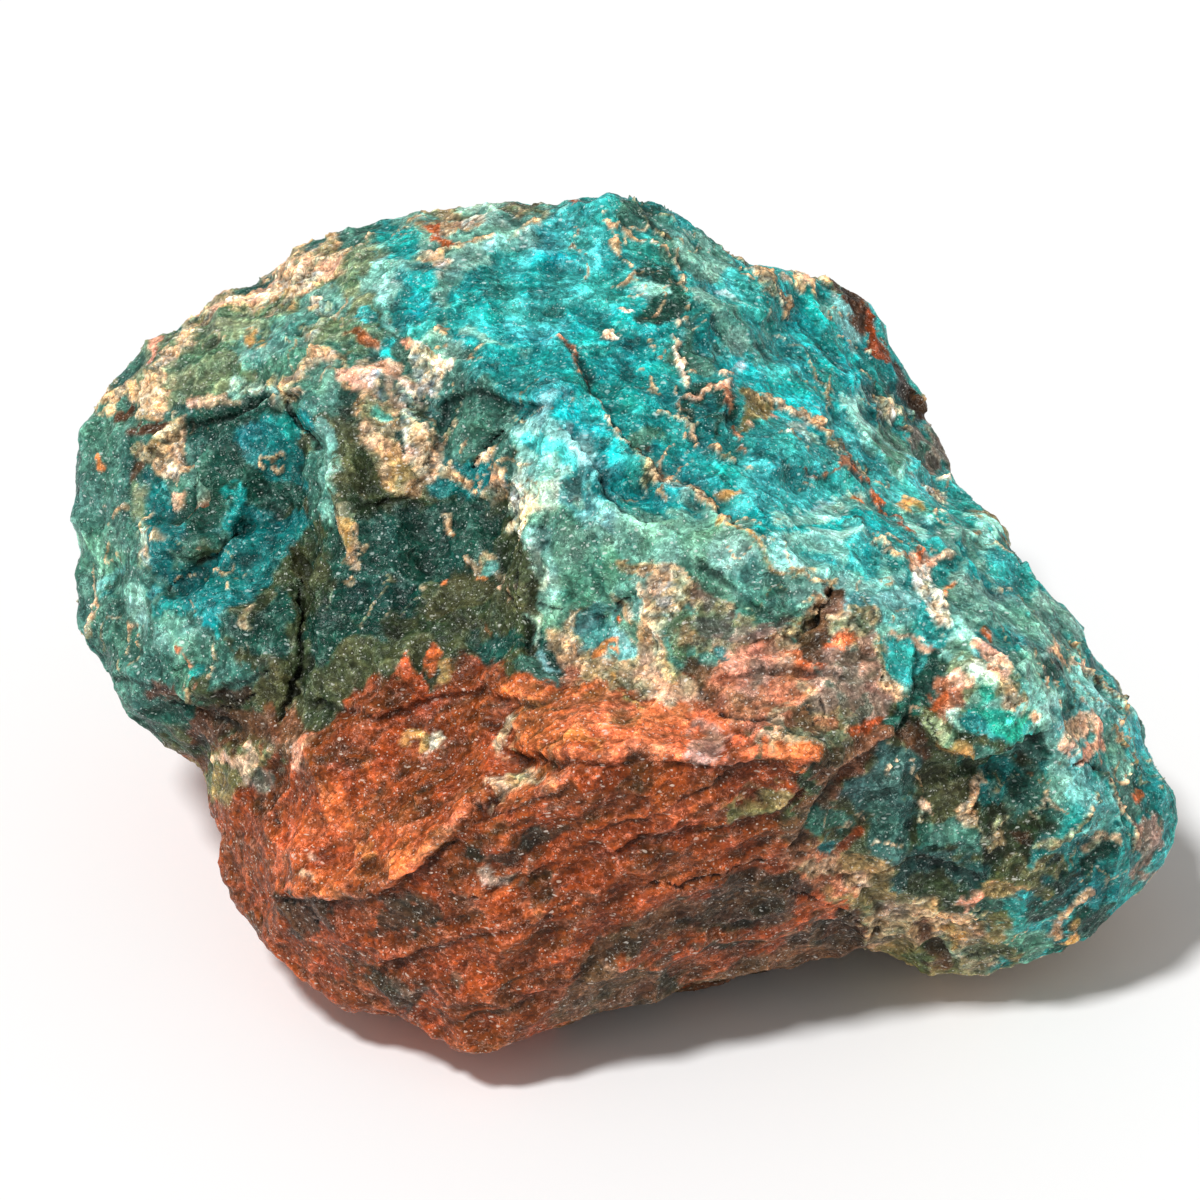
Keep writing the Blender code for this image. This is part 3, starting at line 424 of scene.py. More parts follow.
RIGHT_SLOPE = [
    ("sea_grey", 1.7, [(8, 32), (12, 27.6), (16, 24)]),
    ("aqua", 1.4, [(10.2, 33.4), (11.6, 32), (13.2, 30.6)]),
    ("ice", 0.4, [(10.4, 33.2), (11.4, 32.2), (12.4, 31.4)]),
    ("turquoise", 2.0, [(11.4, 25.8), (14, 25), (17.4, 23), (19.4, 21.4)]),
    ("aqua", 0.8, [(15, 25.6), (17.2, 24), (18.8, 22.6)]),
    ("ice", 0.5, [(12.2, 26.9), (12.8, 26.5)]),
    ("slate", 1.4, [(7.4, 28.8), (7.8, 27.4), (8, 25.2)]),
    ("deep_teal", 0.8, [(7.6, 29), (8, 27.8)]),
    ("bottle", 1.8, [(7.8, 20.6), (9, 20)]),
    ("deep_teal", 0.8, [(7.6, 20), (8.8, 19.2)]),
    ("olive", 1.4, [(12.8, 21), (14, 21.6), (13, 19.4)]),
    ("pink", 0.5, [(15.2, 21.3), (14.8, 21)]),
    ("teal", 2.1, [(15.6, 18.9), (18, 17.8), (17, 17), (19.6, 17)]),
    ("pale_mint", 0.9, [(17.4, 19.6), (19.4, 18.4)]),
    ("peach", 0.35, [(13.3, 19.1), (13.6, 18.9)]),
    ("gold", 0.4, [(10.2, 13.6), (11.2, 13.4)]),
    ("turquoise", 1.6, [(13, 10.4), (17, 9.8), (21, 9.4), (24.6, 8.4)]),
    ("ice", 0.9, [(15.6, 11.4), (18.6, 11.4), (21.6, 11.6)]),
    ("mint", 1.2, [(16, 10.8), (20, 10.8), (23.6, 11.4)]),
    ("pale_mint", 0.6, [(21.8, 12), (23, 11.9)]),
    ("orange", 0.35, [(22.3, 12), (22.9, 11.8)]),
    ("bottle", 0.7, [(23.2, 8.6), (23.5, 8.2)]),
    ("aqua", 2.4, [(24, 18.6), (26.6, 14.6), (29, 13)]),
    ("mint", 1.1, [(23, 22), (26, 18.6), (29, 15.6)]),
    ("mint", 1.3, [(28.6, 10.6), (29.8, 9.8)]),
    ("gold", 0.4, [(28.4, 11.6), (29.8, 11), (30.4, 10.6)]),
    ("peach", 0.8, [(29.4, 6.3), (30.3, 5.9), (31.2, 6)]),
    ("chalk", 1.3, [(30.6, 4.4), (31.3, 3), (32, 1.6), (32.6, 0.4)]),
    ("sea_grey", 1.6, [(33.4, 8), (35.4, 5.4), (34.6, 3)]),
    ("turquoise", 0.9, [(33.8, 6.8), (35.2, 5)]),
    ("mint", 0.7, [(34.8, 9.5), (35.8, 8.8), (36.5, 7.8)]),
    ("cream", 0.5, [(31.6, 12.7), (33, 12)]),
    ("dull_tan", 0.8, [(35.8, 10.3), (37, 9.8), (38, 8.8)]),
    ("orange", 0.3, [(33.8, 3.4), (34.2, 3)]),
    ("mint", 1.6, [(23, 4.4), (25.4, 3.4), (26.6, 4.6)]),
    ("pale_blue", 1.8, [(23.4, 1.4), (26.4, 1), (28.6, 2)]),
    ("mint", 0.7, [(26.2, 5.2), (27, 4), (26, 2.8)]),
    ("peach", 0.5, [(27.6, -1.3), (29.4, -1.8), (31, -2.6), (32, -3.2)]),
]

SHOULDER = [
    ("emerald", 2.6, [(18, 32), (20.6, 31), (22.4, 28.6)]),
    ("turquoise", 1.9, [(18.6, 29.4), (20.6, 27.6), (22, 26.2), (23.6, 25)]),
    ("emerald", 0.9, [(20, 28.4), (21.4, 27)]),
    ("pale_blue", 1.3, [(22.4, 30.4), (23.6, 28.6), (24, 27)]),
    ("tan", 0.9, [(16.4, 34), (18.5, 34), (20.5, 33), (21.5, 32.3)]),
    ("peach", 0.4, [(17.6, 33.8), (19.4, 34.1)]),
    ("umber", 1.5, [(22.4, 32.8), (24, 31), (25, 29.4)]),
    ("dark_brick", 0.8, [(25.6, 30.6), (26.6, 29), (27.4, 27.4)]),
    ("umber", 1.2, [(27.6, 25.4), (28.8, 23.4), (29.8, 21)]),
    ("deep_teal", 1.8, [(25.6, 26), (26, 23.4), (27, 20.4)]),
    ("brick", 0.6, [(26.6, 27), (27.2, 26.2)]),
    ("cream", 0.6, [(26.9, 21.9), (27.8, 21), (28.2, 20.6)]),
    ("grey_mauve", 1.1, [(30.4, 18.6), (31.4, 17), (31.8, 15)]),
    ("leaf", 1.4, [(27.6, 18), (29.2, 16.4)]),
]

KNOB = [
    ("teal", 1.8, [(28.2, -3), (29.4, -4.4)]),
    ("bottle", 1.5, [(32, -4), (30.6, -6), (29, -8.2), (27.6, -9.6)]),
    ("mint", 1.4, [(34.2, 0), (34.4, -1.6), (34, -3)]),
    ("leaf", 0.7, [(33.4, -2.6), (34.4, -3.4)]),
    ("sea_grey", 2.4, [(37, 1.4), (39, -0.6), (40.4, -3)]),
    ("teal", 0.8, [(38.4, -1), (39.6, -2.4)]),
    ("peach", 0.8, [(36, -3), (37.4, -4)]),
    ("cream", 0.7, [(37.6, -4.2), (39, -5.6)]),
    ("rust", 0.4, [(36.8, -1), (37.4, -1.7)]),
    ("moss", 2.6, [(34.6, -6.2), (36.6, -8), (38.6, -8)]),
    ("pale_mint", 1.0, [(35.4, -5.4), (37, -6.4)]),
    ("sea_grey", 1.0, [(36.4, -8.6), (38.4, -8.6), (39, -7.4)]),
    ("jade", 0.6, [(37, -7.6), (37.6, -8)]),
    ("tan", 0.5, [(38.2, -6.6), (39.2, -7.6), (39.4, -8.8)]),
    ("peach", 0.5, [(36.6, -5.2), (38, -6)]),
    ("clay", 1.4, [(32.6, -7), (34, -8.2), (33, -9)]),
    ("peach", 0.8, [(33.6, -6), (34.8, -6.8)]),
    ("rust", 0.5, [(31.6, -8.6), (32.6, -8.2)]),
    ("pale_mint", 0.9, [(34, -10), (35, -10.6)]),
    ("moss", 1.0, [(31.6, -10.4), (33, -12)]),
    ("jade", 1.4, [(37.2, -10.2), (38.8, -10.2)]),
    ("teal", 0.8, [(36, -10.4), (37, -11.2)]),
    ("gold", 0.35, [(32, -12), (33.6, -12.9), (35.4, -12.9)]),
    ("mint", 1.5, [(41, -8), (42.6, -9.4)]),
    ("sea_grey", 1.2, [(40.4, -5.6), (41.4, -6.8)]),
    ("bottle", 0.9, [(41.4, -11.6), (42.2, -12.4)]),
    ("peach", 0.5, [(41, -9.6), (41.6, -10)]),
]

RIGHT_FLANK = [
    ("sea_grey", 2.2, [(41, -3), (44, -2), (42, 0.6)]),
    ("bottle", 1.0, [(41.6, -3.6), (43, -5.4), (44.4, -6.6)]),
    ("peach", 0.7, [(43.6, -2.6), (45, -4.2), (46.4, -5)]),
    ("sea_grey", 1.4, [(42.8, -11), (41, -12.6), (44, -12.8)]),
    ("mint", 1.8, [(45.8, -6.4), (47.6, -8), (49.4, -10)]),
    ("clay", 0.4, [(45.4, -8.5), (46, -9), (46.5, -9.1)]),
    ("pale_blue", 0.9, [(44.2, -8.8), (46, -10)]),
    ("pale_blue", 1.4, [(45.6, -10.8), (46.8, -11.2), (46.8, -13)]),
    ("peach", 0.9, [(45.4, -11.6), (47.6, -11), (48, -12.6)]),
    ("pink", 0.7, [(47.2, -13.9), (48.6, -11.4)]),
    ("sea_grey", 1.3, [(49.6, -13), (49.6, -15.4)]),
    ("aqua", 1.2, [(51, -10.6), (51.9, -13), (52.5, -15.6)]),
    ("pale_blue", 2.0, [(44.4, -16.4), (46.4, -17), (47.6, -18.6)]),
    ("mint", 1.0, [(46.4, -20.6), (48.2, -20.2)]),
    ("sea_grey", 1.3, [(43.4, -15), (43, -18)]),
    ("peach", 0.8, [(46.8, -21.8), (48.4, -22)]),
    ("slate", 1.2, [(50.8, -17.4), (51.6, -18.6)]),
    ("rust", 0.4, [(51.8, -17.4), (52.2, -18.2)]),
    ("grey_mauve", 1.2, [(52.8, -20.6), (52.4, -24.4)]),
]

DARK_HOLLOW = [
    ("brown", 1.2, [(28, -9.4), (26.6, -11.4), (24.6, -13), (22.4, -14), (20.6, -15.2)]),
    ("brown", 1.4, [(20.6, -16.6), (19, -18.8), (17.6, -21)]),
    ("umber", 1.4, [(28.6, -10.8), (29.6, -12)]),
    ("slate", 0.8, [(19.4, -19.7), (21, -19.7), (22.4, -20)]),
    ("dark_brick", 0.5, [(21.8, -22), (22.8, -21.3), (23.6, -20.5)]),
    ("deep_teal", 0.5, [(20.1, -22.2), (20.6, -21.9)]),
    ("steel", 2.0, [(24, -17), (26, -17), (28, -14.6)]),
    ("steel", 2.0, [(26.6, -17.6), (28, -19), (27, -21)]),
    ("dark_olive", 2.4, [(32, -15.4), (35, -15.6), (38.6, -14.2)]),
    ("slate", 1.2, [(34.4, -13.9), (38, -14), (41.4, -13.4)]),
    ("teal", 1.3, [(37, -17.6), (38.4, -16.4), (37.4, -19)]),
    ("sea_grey", 0.6, [(38, -16.8), (37.4, -18)]),
    ("slate", 1.4, [(40.4, -16.4), (41, -19.4)]),
    ("peach", 0.4, [(30.4, -17.9), (31, -18.3)]),
    ("tan", 0.6, [(36.3, -17.5), (35.2, -18.8), (34.2, -19.6), (35.4, -20.6), (36.4, -22)]),
    ("slate", 1.5, [(31.4, -21.2), (33.4, -21.4), (35, -22.4)]),
    ("steel", 1.0, [(29.6, -22.6), (31, -23.4)]),
    ("steel", 1.6, [(28.6, -25.2), (31.4, -25.6), (34.4, -25.8)]),
    ("olive", 1.1, [(23, -23.5), (25, -23.9)]),
    ("dark_olive", 1.6, [(38, -20.6), (40.4, -21.6), (40.4, -24)]),
    ("tan", 0.6, [(39.4, -20.4), (38.4, -22.6), (37.2, -23)]),
    ("umber", 0.6, [(41, -21.6), (41.2, -22.2)]),
    ("tan", 0.45, [(42.4, -22.8), (42.7, -23.4)]),
    ("olive", 1.3, [(37, -26.4), (40, -25.8)]),
    ("olive", 0.7, [(41, -26), (43, -25.3), (45, -25)]),
    ("bottle", 1.3, [(42, -28.2), (44, -26.6), (46.4, -25), (48, -23.6)]),
    ("deep_teal", 0.6, [(43.6, -26.9), (45.6, -25.5)]),
    ("deep_teal", 1.3, [(47.4, -27.2), (49.6, -25.6), (51, -24)]),
    ("tan", 0.45, [(42.4, -31.2), (43.8, -29.7), (45.4, -28.2), (47, -27)]),
    ("bottle", 1.0, [(43.6, -32.4), (46, -30.6), (49, -28.6)]),
    ("gold", 0.35, [(44, -31.8), (45.2, -31.4)]),
]

TAN_FOOT = [
    ("dull_tan", 1.8, [(29.6, -28.6), (31, -29.4), (27, -30.6)]),
    ("tan", 0.7, [(29.6, -28.2), (33, -29.4), (34.2, -29.3)]),
    ("tan", 2.0, [(32, -30.4), (34.6, -30.2), (33.6, -32)]),
    ("gold", 0.8, [(33.4, -31.2), (35.4, -31)]),
    ("brown", 1.1, [(30.6, -32.4), (31.6, -33.8), (30, -31)]),
    ("dull_tan", 1.6, [(36.6, -31.6), (36, -33.6)]),
    ("pink", 0.7, [(35.2, -28.2), (36.2, -27.7)]),
    ("slate", 1.0, [(36.4, -29), (38, -28.6)]),
    ("olive", 1.4, [(38.6, -31), (39.6, -33)]),
    ("leaf", 1.3, [(40.6, -31.4), (41.4, -33.4)]),
    ("dark_olive", 1.4, [(33, -27.4), (30, -26.8)]),
]

PAINT = [
    TOP_AND_LEFT, BOWL, LEFT_LOBE, FACE_UNDER_BROW, CRUST_PATCH, TOP, TEAL_SLOPE,
    RIGHT_SLOPE, MIDDLE_BAND, TAN_MIDDLE, RED_MASS, RED_LOWER, BROWN_SHELF, SHOULDER, RIGHT_FLANK,
    DARK_HOLLOW, TAN_FOOT, KNOB,
]

# The sides that the photograph hides: strokes as (colour, brush radius, points as (right, back,
# height) from the stone's middle).
HIDDEN_SIDES = [
    ("brick", 24, [(-30, -10, -20), (-18, -20, -24), (-34, 10, -16)]),
    ("brown", 14, [(4, -16, -30), (10, 4, -32), (-8, 10, -32)]),
    ("dull_tan", 11, [(30, -8, -26), (36, 4, -26)]),
    ("dark_brick", 9, [(-24, 22, -22), (-12, 20, -28), (-40, 16, -10)]),
    ("sea_grey", 15, [(-48, 20, 2), (-30, 38, 6), (-44, 26, 6)]),
    ("leaf", 10, [(-34, 34, 10), (-18, 38, 14)]),
    ("turquoise", 9, [(0, 34, 22), (12, 36, 16), (24, 28, 8)]),
    ("deep_teal", 8, [(-8, 42, 4), (6, 40, 0), (18, 38, -4)]),
    ("slate", 8, [(28, 30, -6), (20, 34, -10), (-20, 36, -4)]),
    ("aqua", 5, [(-2, 40, 12), (10, 38, 8)]),
    ("tan", 4.5, [(-34, 33, 14), (-26, 36, 17), (-16, 39, 18)]),
    ("tan", 3.0, [(2, 40, -6), (10, 38, -9), (20, 33, -12)]),
    ("mint", 3.5, [(30, 26, 2), (36, 18, 0)]),
    ("clay", 3.5, [(-30, 34, -6), (-20, 35, -10), (-8, 35, -12)]),
    ("gold", 2.0, [(40, 14, -4), (46, 4, -8)]),
]

# Veins of tan and cream grains as (colour, half width, points).
VEINS = [
    ("clay", 0.28, [
        (-7.5, 28.3), (-6, 27.8), (-5, 27.2), (-4.3, 25.5), (-4, 24), (-3, 22.5), (-1.5, 20.5)
    ]),
    ("tan", 0.2, [(-1.5, 20.5), (0, 18), (1.3, 16.4), (2.6, 14.9)]),
    ("tan", 0.5, [
        (2.6, 14.9), (3.8, 14.1), (5, 13.6), (6.5, 13.4), (7.8, 12.8), (9, 12), (10, 11.3), (10.4, 10.3)
    ]),
    ("tan", 0.16, [(4, 39.4), (4.75, 38), (5.75, 36.5), (6.1, 34.8), (6.5, 32), (6.6, 30.8), (6.4, 29.9)]),
    ("tan", 0.5, [(3.5, 38.9), (4, 38.5)]),
    ("cream", 0.5, [(5.8, 29.6), (5.5, 28), (5.5, 26.5), (6, 24.8), (6.5, 23.3), (7, 22.3)]),
    ("peach", 0.4, [(7, 22.3), (8.3, 22.8), (9.5, 22.9)]),
    ("peach", 0.7, [(10, 24.5), (10.3, 23.4), (9.8, 22.6)]),
    ("tan", 0.3, [
        (5.8, 21.2), (5.9, 20.2), (7, 19), (8, 17.8), (9.3, 17), (10.3, 16.3), (11.5, 15.8), (13, 15.4)
    ]),
    ("clay", 0.45, [(10.2, 22.2), (10.8, 20.3), (10.9, 19.5), (11.5, 18.5), (12, 17.5), (12.8, 16.3)]),
    ("tan", 0.45, [
        (14, 22.3), (15, 22), (16, 21.3), (17.5, 20.8), (19, 19.8), (20, 18.8), (21, 18), (21.5, 17),
        (22.3, 15.8)
    ]),
    ("clay", 0.55, [(22, 16.2), (22.3, 15.4), (22.7, 14.9)]),
    ("clay", 0.25, [(16.5, 15.6), (18, 15.5), (19.5, 14.3), (21.3, 14.8)]),
    ("rust", 0.3, [
        (22.8, 15), (23.8, 14.3), (25, 13.3), (26, 12), (26.5, 10.8), (28, 9.5), (29.3, 8.3), (29.8, 7),
        (30.1, 6.3)
    ]),
    ("tan", 0.3, [(25, 7.4), (27, 6.8), (29, 6.3)]),
    ("tan", 0.35, [(13, 34.5), (14.3, 33.8), (15.5, 32.8), (16.5, 31.5), (17, 30.4)]),
    ("tan", 0.25, [(46.5, -5), (47.5, -5.5), (48.5, -6.3), (50, -8), (50.8, -9.6)]),
    ("tan", 0.3, [(47.1, -17.4), (46.5, -19), (45.8, -20.4), (44.6, -21.6), (43.2, -22.6)]),
    ("tan", 0.25, [(48.3, -15.3), (49.5, -17.3), (50.3, -18.8), (51, -20.5), (51, -23)]),
    ("tan", 0.2, [(45, -14), (43.4, -15.6), (42, -18), (41.4, -19.6)]),
    ("gold", 0.25, [(-0.8, -5.5), (0, -7), (1, -8.3), (2.3, -9.3)]),
    ("tan", 0.25, [(29, -14.4), (29.9, -17), (30, -19.8)]),
    ("clay", 0.2, [(-43.5, -2.4), (-42.6, -4.6), (-42, -6.5)]),
]

# Open cracks as (half width, depth, points).
CRACKS = [
    (0.55, 1.2, [(-33.6, 22.3), (-32.2, 20), (-30.4, 17.4)]),
    (0.35, 0.8, [(-45, 3), (-43, 4.5), (-41.5, 6), (-39.5, 7.2), (-37, 9.5)]),
    (0.7, 1.6, [(-32, 4), (-31.8, 0), (-31.9, -3), (-32, -5.5), (-33.5, -8), (-34.5, -10)]),
    (0.3, 0.7, [(-8.5, 21), (-10, 20), (-12.5, 18.3), (-14, 16.5), (-14.8, 15.3)]),
    (0.3, 0.5, [(-2.7, 0.1), (-1.2, 0.6), (-0.4, 1), (0.2, 2), (1.6, 3)]),
    (0.7, 1.0, [(20.9, 3.2), (20.5, 1.8), (19.4, -0.2), (17.8, -1.6)]),
    (0.3, 0.7, [(-10.1, 9.6), (-9.9, 5), (-9.7, 2), (-9.6, 0), (-9.4, -2)]),
    (0.25, 0.5, [(3.6, 14), (5.2, 13.4), (7, 13), (9.2, 11.7)]),
    (0.3, 0.6, [(-34.7, -17.4), (-34.7, -20), (-34.2, -20.6)]),
    (0.4, 0.8, [(-10.9, 2.4), (-9.8, 1), (-9.4, 0)]),
    (0.3, 0.5, [(-8.9, 2.2), (-7.6, 1.6), (-6, 1.2)]),
    (0.4, 0.8, [(10, -9), (12, -9.8), (14, -10.1), (16, -9.8)]),
    (0.3, 0.6, [(20, -7), (20.2, -9), (19.4, -10.2)]),
    (0.3, 0.6, [(3, -26.2), (6, -26.6), (9, -25.4), (12, -24.6), (15, -24.4)]),
    (0.4, 0.7, [(17, -27), (20, -28), (23, -29.4), (26, -31)]),
    (0.3, 0.5, [(-33.4, -26.6), (-32, -28.6), (-30.6, -30.4)]),
    (0.35, 0.7, [(45.4, -14.5), (46.6, -14.1), (48, -15)]),
    (0.35, 0.8, [(30.6, -9.8), (32, -12), (33.6, -13), (36, -13.3), (38.6, -12.6), (41, -11.4)]),
    (0.3, 0.7, [(-36.4, -7.4), (-39, -8.6), (-42, -9), (-45, -8.4)]),
]

# Scarps as (height, reach, points): the side to the left of the way that the points run stands up.
STEPS = [
    (1.1, 2.6, [
        (10.4, 10.6), (9, 12.2), (6.5, 13.6), (3.8, 14.4), (1.5, 16.2), (0, 18.2), (-1.5, 20.7), (-3, 22.7),
        (-4.2, 25.5), (-6, 27.9)
    ]),
    (1.9, 2.6, [
        (5, 8.6), (3, 9.4), (1.2, 9.7), (-0.2, 10.5), (-1.4, 12.2), (-2.3, 14.2), (-3.2, 16.2), (-5, 18.2)
    ]),
    (1.8, 2.4, [(-9.4, -2.2), (-9.3, 1), (-9.1, 4), (-8.7, 6.6), (-8.1, 9)]),
    (1.3, 3.4, [
        (-9, -13.4), (-7, -13.7), (-4, -13.8), (-1.5, -13.9), (1.5, -13.4), (5, -13.4), (9.3, -14.4),
        (13, -13.8), (19, -14.1)
    ]),
    (1.4, 3.6, [
        (-33, -27.6), (-28, -27.7), (-24.5, -27.5), (-21.3, -25.2), (-19.6, -24.4), (-17, -21.4),
        (-15, -19), (-12.6, -17.4)
    ]),
    (1.1, 2.4, [(-46.5, 17), (-44, 19.6), (-40, 20.4), (-36.5, 22), (-33.5, 22.6)]),
    (0.9, 2.4, [(-24, 12), (-21, 12.6), (-19.5, 15), (-17.6, 22), (-14, 23.4), (-11, 22), (-8, 21.8)]),
    (0.9, 2.6, [
        (-50, -5.5), (-47, -6.3), (-45, -6.8), (-43, -7.8), (-41, -7.2), (-39.5, -6.5), (-36, -5.3)
    ]),
    (0.7, 1.6, [(9.3, -20.8), (11, -20.5), (13, -19.8), (15, -19), (17.5, -17)]),
    (0.6, 2.0, [(0, -22.5), (2, -21.8), (5, -21), (7.5, -20.3)]),
    (0.7, 2.0, [(-2, -20.6), (0.5, -20), (4, -19.3), (7.5, -17), (10, -15.8)]),
    (0.7, 2.2, [(-24, -34.4), (-20, -33), (-15, -31.6), (-11, -30.6), (-7, -29.4)]),
    (0.6, 1.6, [(-10, -37.8), (-7, -36.5), (-5, -35.5), (-3, -33.4)]),
    (0.6, 1.6, [(-14.2, -27.2), (-12, -26.2), (-10, -25.2), (-7.6, -24.6)]),
    (0.9, 2.2, [(26, -24.5), (28, -23.7), (30.3, -23.6), (32.5, -24.5), (35, -25)]),
    (0.9, 2.0, [
        (17, -22.4), (18.3, -19.8), (20, -16.6), (22, -14.6), (24.8, -13.4), (26.6, -11.8), (28.4, -9.4)
    ]),
    (1.0, 2.6, [
        (28.4, -9.4), (30.6, -10.6), (32, -12.2), (33.6, -13.2), (36, -13.5), (38.6, -12.8), (41, -11.8)
    ]),
    (0.7, 1.6, [(18, -30.4), (19.6, -30), (21.6, -30.2), (23.4, -30.8)]),
    (0.7, 1.8, [(24.8, -31.6), (25.4, -29.2), (24, -27), (22, -26)]),
    (0.6, 1.8, [(26, 20.3), (25, 21.8), (23.5, 23.5), (22, 24.8), (20.8, 26), (19.5, 27.8), (18, 29.5)]),
    (0.9, 2.0, [(11, -5.4), (13.4, -4.6), (16, -4.2), (18.6, -4.6), (21.6, -5)]),
    (0.8, 1.8, [(28.6, -8.6), (29.2, -6), (29.4, -3.4)]),
    (0.6, 1.4, [(-14.2, -18.4), (-11, -18.9), (-8, -17.6), (-6.2, -17)]),
    (0.8, 2.0, [(8, 6), (10.5, 4.6), (13, 2), (16, 0.4), (19.4, 1.6)]),
    (0.8, 2.0, [(-29.6, -8.2), (-24, -9.4), (-19, -7.4), (-13.6, -6.6), (-9.6, -8)]),
]

# Sharp crests as (height, half width, points).
RIDGES = [
    (0.35, 0.7, [
        (-5, 18), (-4, 16.9), (-3, 15.8), (-2.5, 14.5), (-1.75, 13), (-1, 11.5), (0, 10.3), (1.3, 9.5),
        (3, 9.3), (5, 8.4)
    ]),
    (0.3, 0.6, [(-7.8, 8.8), (-8.4, 7.5), (-8.6, 5.8), (-9, 4), (-9.1, 2), (-9, -0.5)]),
    (0.3, 0.9, [
        (-7, -13.3), (-4, -13.4), (-1.5, -13.5), (1.5, -13), (5, -13), (9.3, -14), (12, -13.8), (16, -13.5),
        (19, -13.6)
    ]),
    (0.3, 0.9, [(-30, -27.3), (-26, -27.5), (-23, -25.6), (-19.6, -24), (-17, -21), (-15, -18.6)]),
    (0.3, 0.7, [(-18, 26.5), (-15, 25.5), (-13.5, 24), (-11, 22.5), (-9.5, 22), (-7, 22)]),
    (0.4, 0.8, [(-29, 18), (-28.5, 14), (-27.5, 9.5)]),
    (0.25, 0.6, [(-20, 36.5), (-17, 37), (-15, 37.3), (-12, 37.8), (-9, 38.9)]),
    (0.25, 0.5, [(10, 10), (11.3, 9), (13.3, 8.3), (15, 6.3), (17.5, 5.3), (19, 4.5), (20.2, 3.4)]),
    (0.25, 0.5, [
        (28.6, -9), (27, -11.2), (25, -12.8), (22.4, -14), (20.6, -15.4), (19.4, -17.4), (18, -20)
    ]),
]

# The ways that the layers of the red rock and of the green one run, and how thick they are.
RED_LAYERS = (np.array([0.92, 0.10, 0.38]), 1.1)
GREEN_LAYERS = (np.array([0.62, -0.35, -0.70]), 1.0)

# How softly the broad zones of colour blend, on the front and on the hidden sides, in millimetres.
FRONT_BLEND = 0.4
HIDDEN_BLEND = 0.9

# Sizes of what is broken into the surface, and the width of the painted highlight along crests (LIT_EDGE),
# in millimetres.
LARGE_FACET = 5.0
SMALL_FACET = 2.1
CRUMB = 1.0
FINE_GRAIN = 0.55
WALL = 0.4
LIT_EDGE = 0.4
VEIN_HEIGHT = 0.2

# How many rounds of averaging tell small hollows and large ones.
SMALL_HOLLOW_PASSES = 8
LARGE_HOLLOW_PASSES = 60


# Repeatable noise in space. Places are rows of three numbers, in units of the noise's own size.

HASH_FACTORS = np.array([0x9E3779B1, 0x85EBCA77, 0xC2B2AE3D], np.uint32)
BOX_CORNERS = [(i, j, k) for i in (0, 1) for j in (0, 1) for k in (0, 1)]
NEAR_CELLS = [(i, j, k) for i in (-1, 0, 1) for j in (-1, 0, 1) for k in (-1, 0, 1)]


def scrambled(cells, seed):
    """A whole number that looks random for each cell of a grid."""
    mixed = cells.astype(np.int32).view(np.uint32) * HASH_FACTORS
    value = mixed[:, 0] ^ mixed[:, 1] ^ mixed[:, 2] ^ np.uint32(seed * 0x27D4EB2F & 0xFFFFFFFF)
    for shift, factor in ((15, 0x2C1B3C6D), (12, 0x297A2D39), (15, 1)):
        value ^= value >> np.uint32(shift)
        value *= np.uint32(factor)
    return value


def three_numbers(value):
    """Three numbers from 0 to 1 out of each scrambled one."""
    numbers = np.empty((len(value), 3))
    for k in range(3):
        numbers[:, k] = (value >> np.uint32(10 * k)) & np.uint32(1023)
    return numbers / 1023.0


def inner_product(a, b):
    return np.einsum("ij,ij->i", a, b)


def waves(places, seed=0):
    """Smooth noise, mostly within 1 of nought."""
    base = np.floor(places)
    inner = places - base
    blend = inner ** 3 * (inner * (inner * 6 - 15) + 10)
    total = np.zeros(len(places))
    for corner in BOX_CORNERS:
        step = np.array(corner)
        lean = three_numbers(scrambled(base + step, seed)) * 2 - 1
        across, deep, high = (blend[:, k] if step[k] else 1 - blend[:, k] for k in range(3))
        total += across * deep * high * inner_product(inner - step, lean)
    return total * 2.2


def rough_waves(places, octaves, seed=0):
    return sum(waves(places * 2 ** k, seed + k) / 2 ** k for k in range(octaves))


def drift(places, seed):
    return np.stack([waves(places + shift, seed) for shift in (0.0, 31.7, 67.1)], axis=1)


def grains(places, seed=0):
    """Grains side by side.

    Gives the nearest grain's distance, how much farther the next one is, three numbers of the nearest
    one, and its slope here.
    """
    base = np.floor(places)
    near = np.full(len(places), 9.0)
    second = np.full(len(places), 9.0)
    which = np.zeros(len(places), np.uint32)
    offsets = np.zeros(places.shape)
    for offset in NEAR_CELLS:
        cell = base + np.array(offset)
        value = scrambled(cell, seed)
        away = places - cell - three_numbers(value)
        far = inner_product(away, away)
        closer = far < near
        second = np.where(closer, near, np.minimum(second, far))
        which = np.where(closer, value, which)
        near = np.where(closer, far, near)
        offsets[closer] = away[closer]
    near, second = np.sqrt(near), np.sqrt(second)
    kind = three_numbers(which * np.uint32(0x9E3779B1) ^ (which >> np.uint32(7)))
    lean = three_numbers(which * np.uint32(0x85EBCA77) ^ (which >> np.uint32(9))) - 0.5
    return near, second - near, kind, inner_product(offsets, lean)


def layered(places, layers, seed):
    """Noise drawn out along the way that the layers run."""
    way, thickness = layers
    along = places @ way
    return rough_waves((places - 0.86 * along[:, None] * way) / thickness, 2, seed)


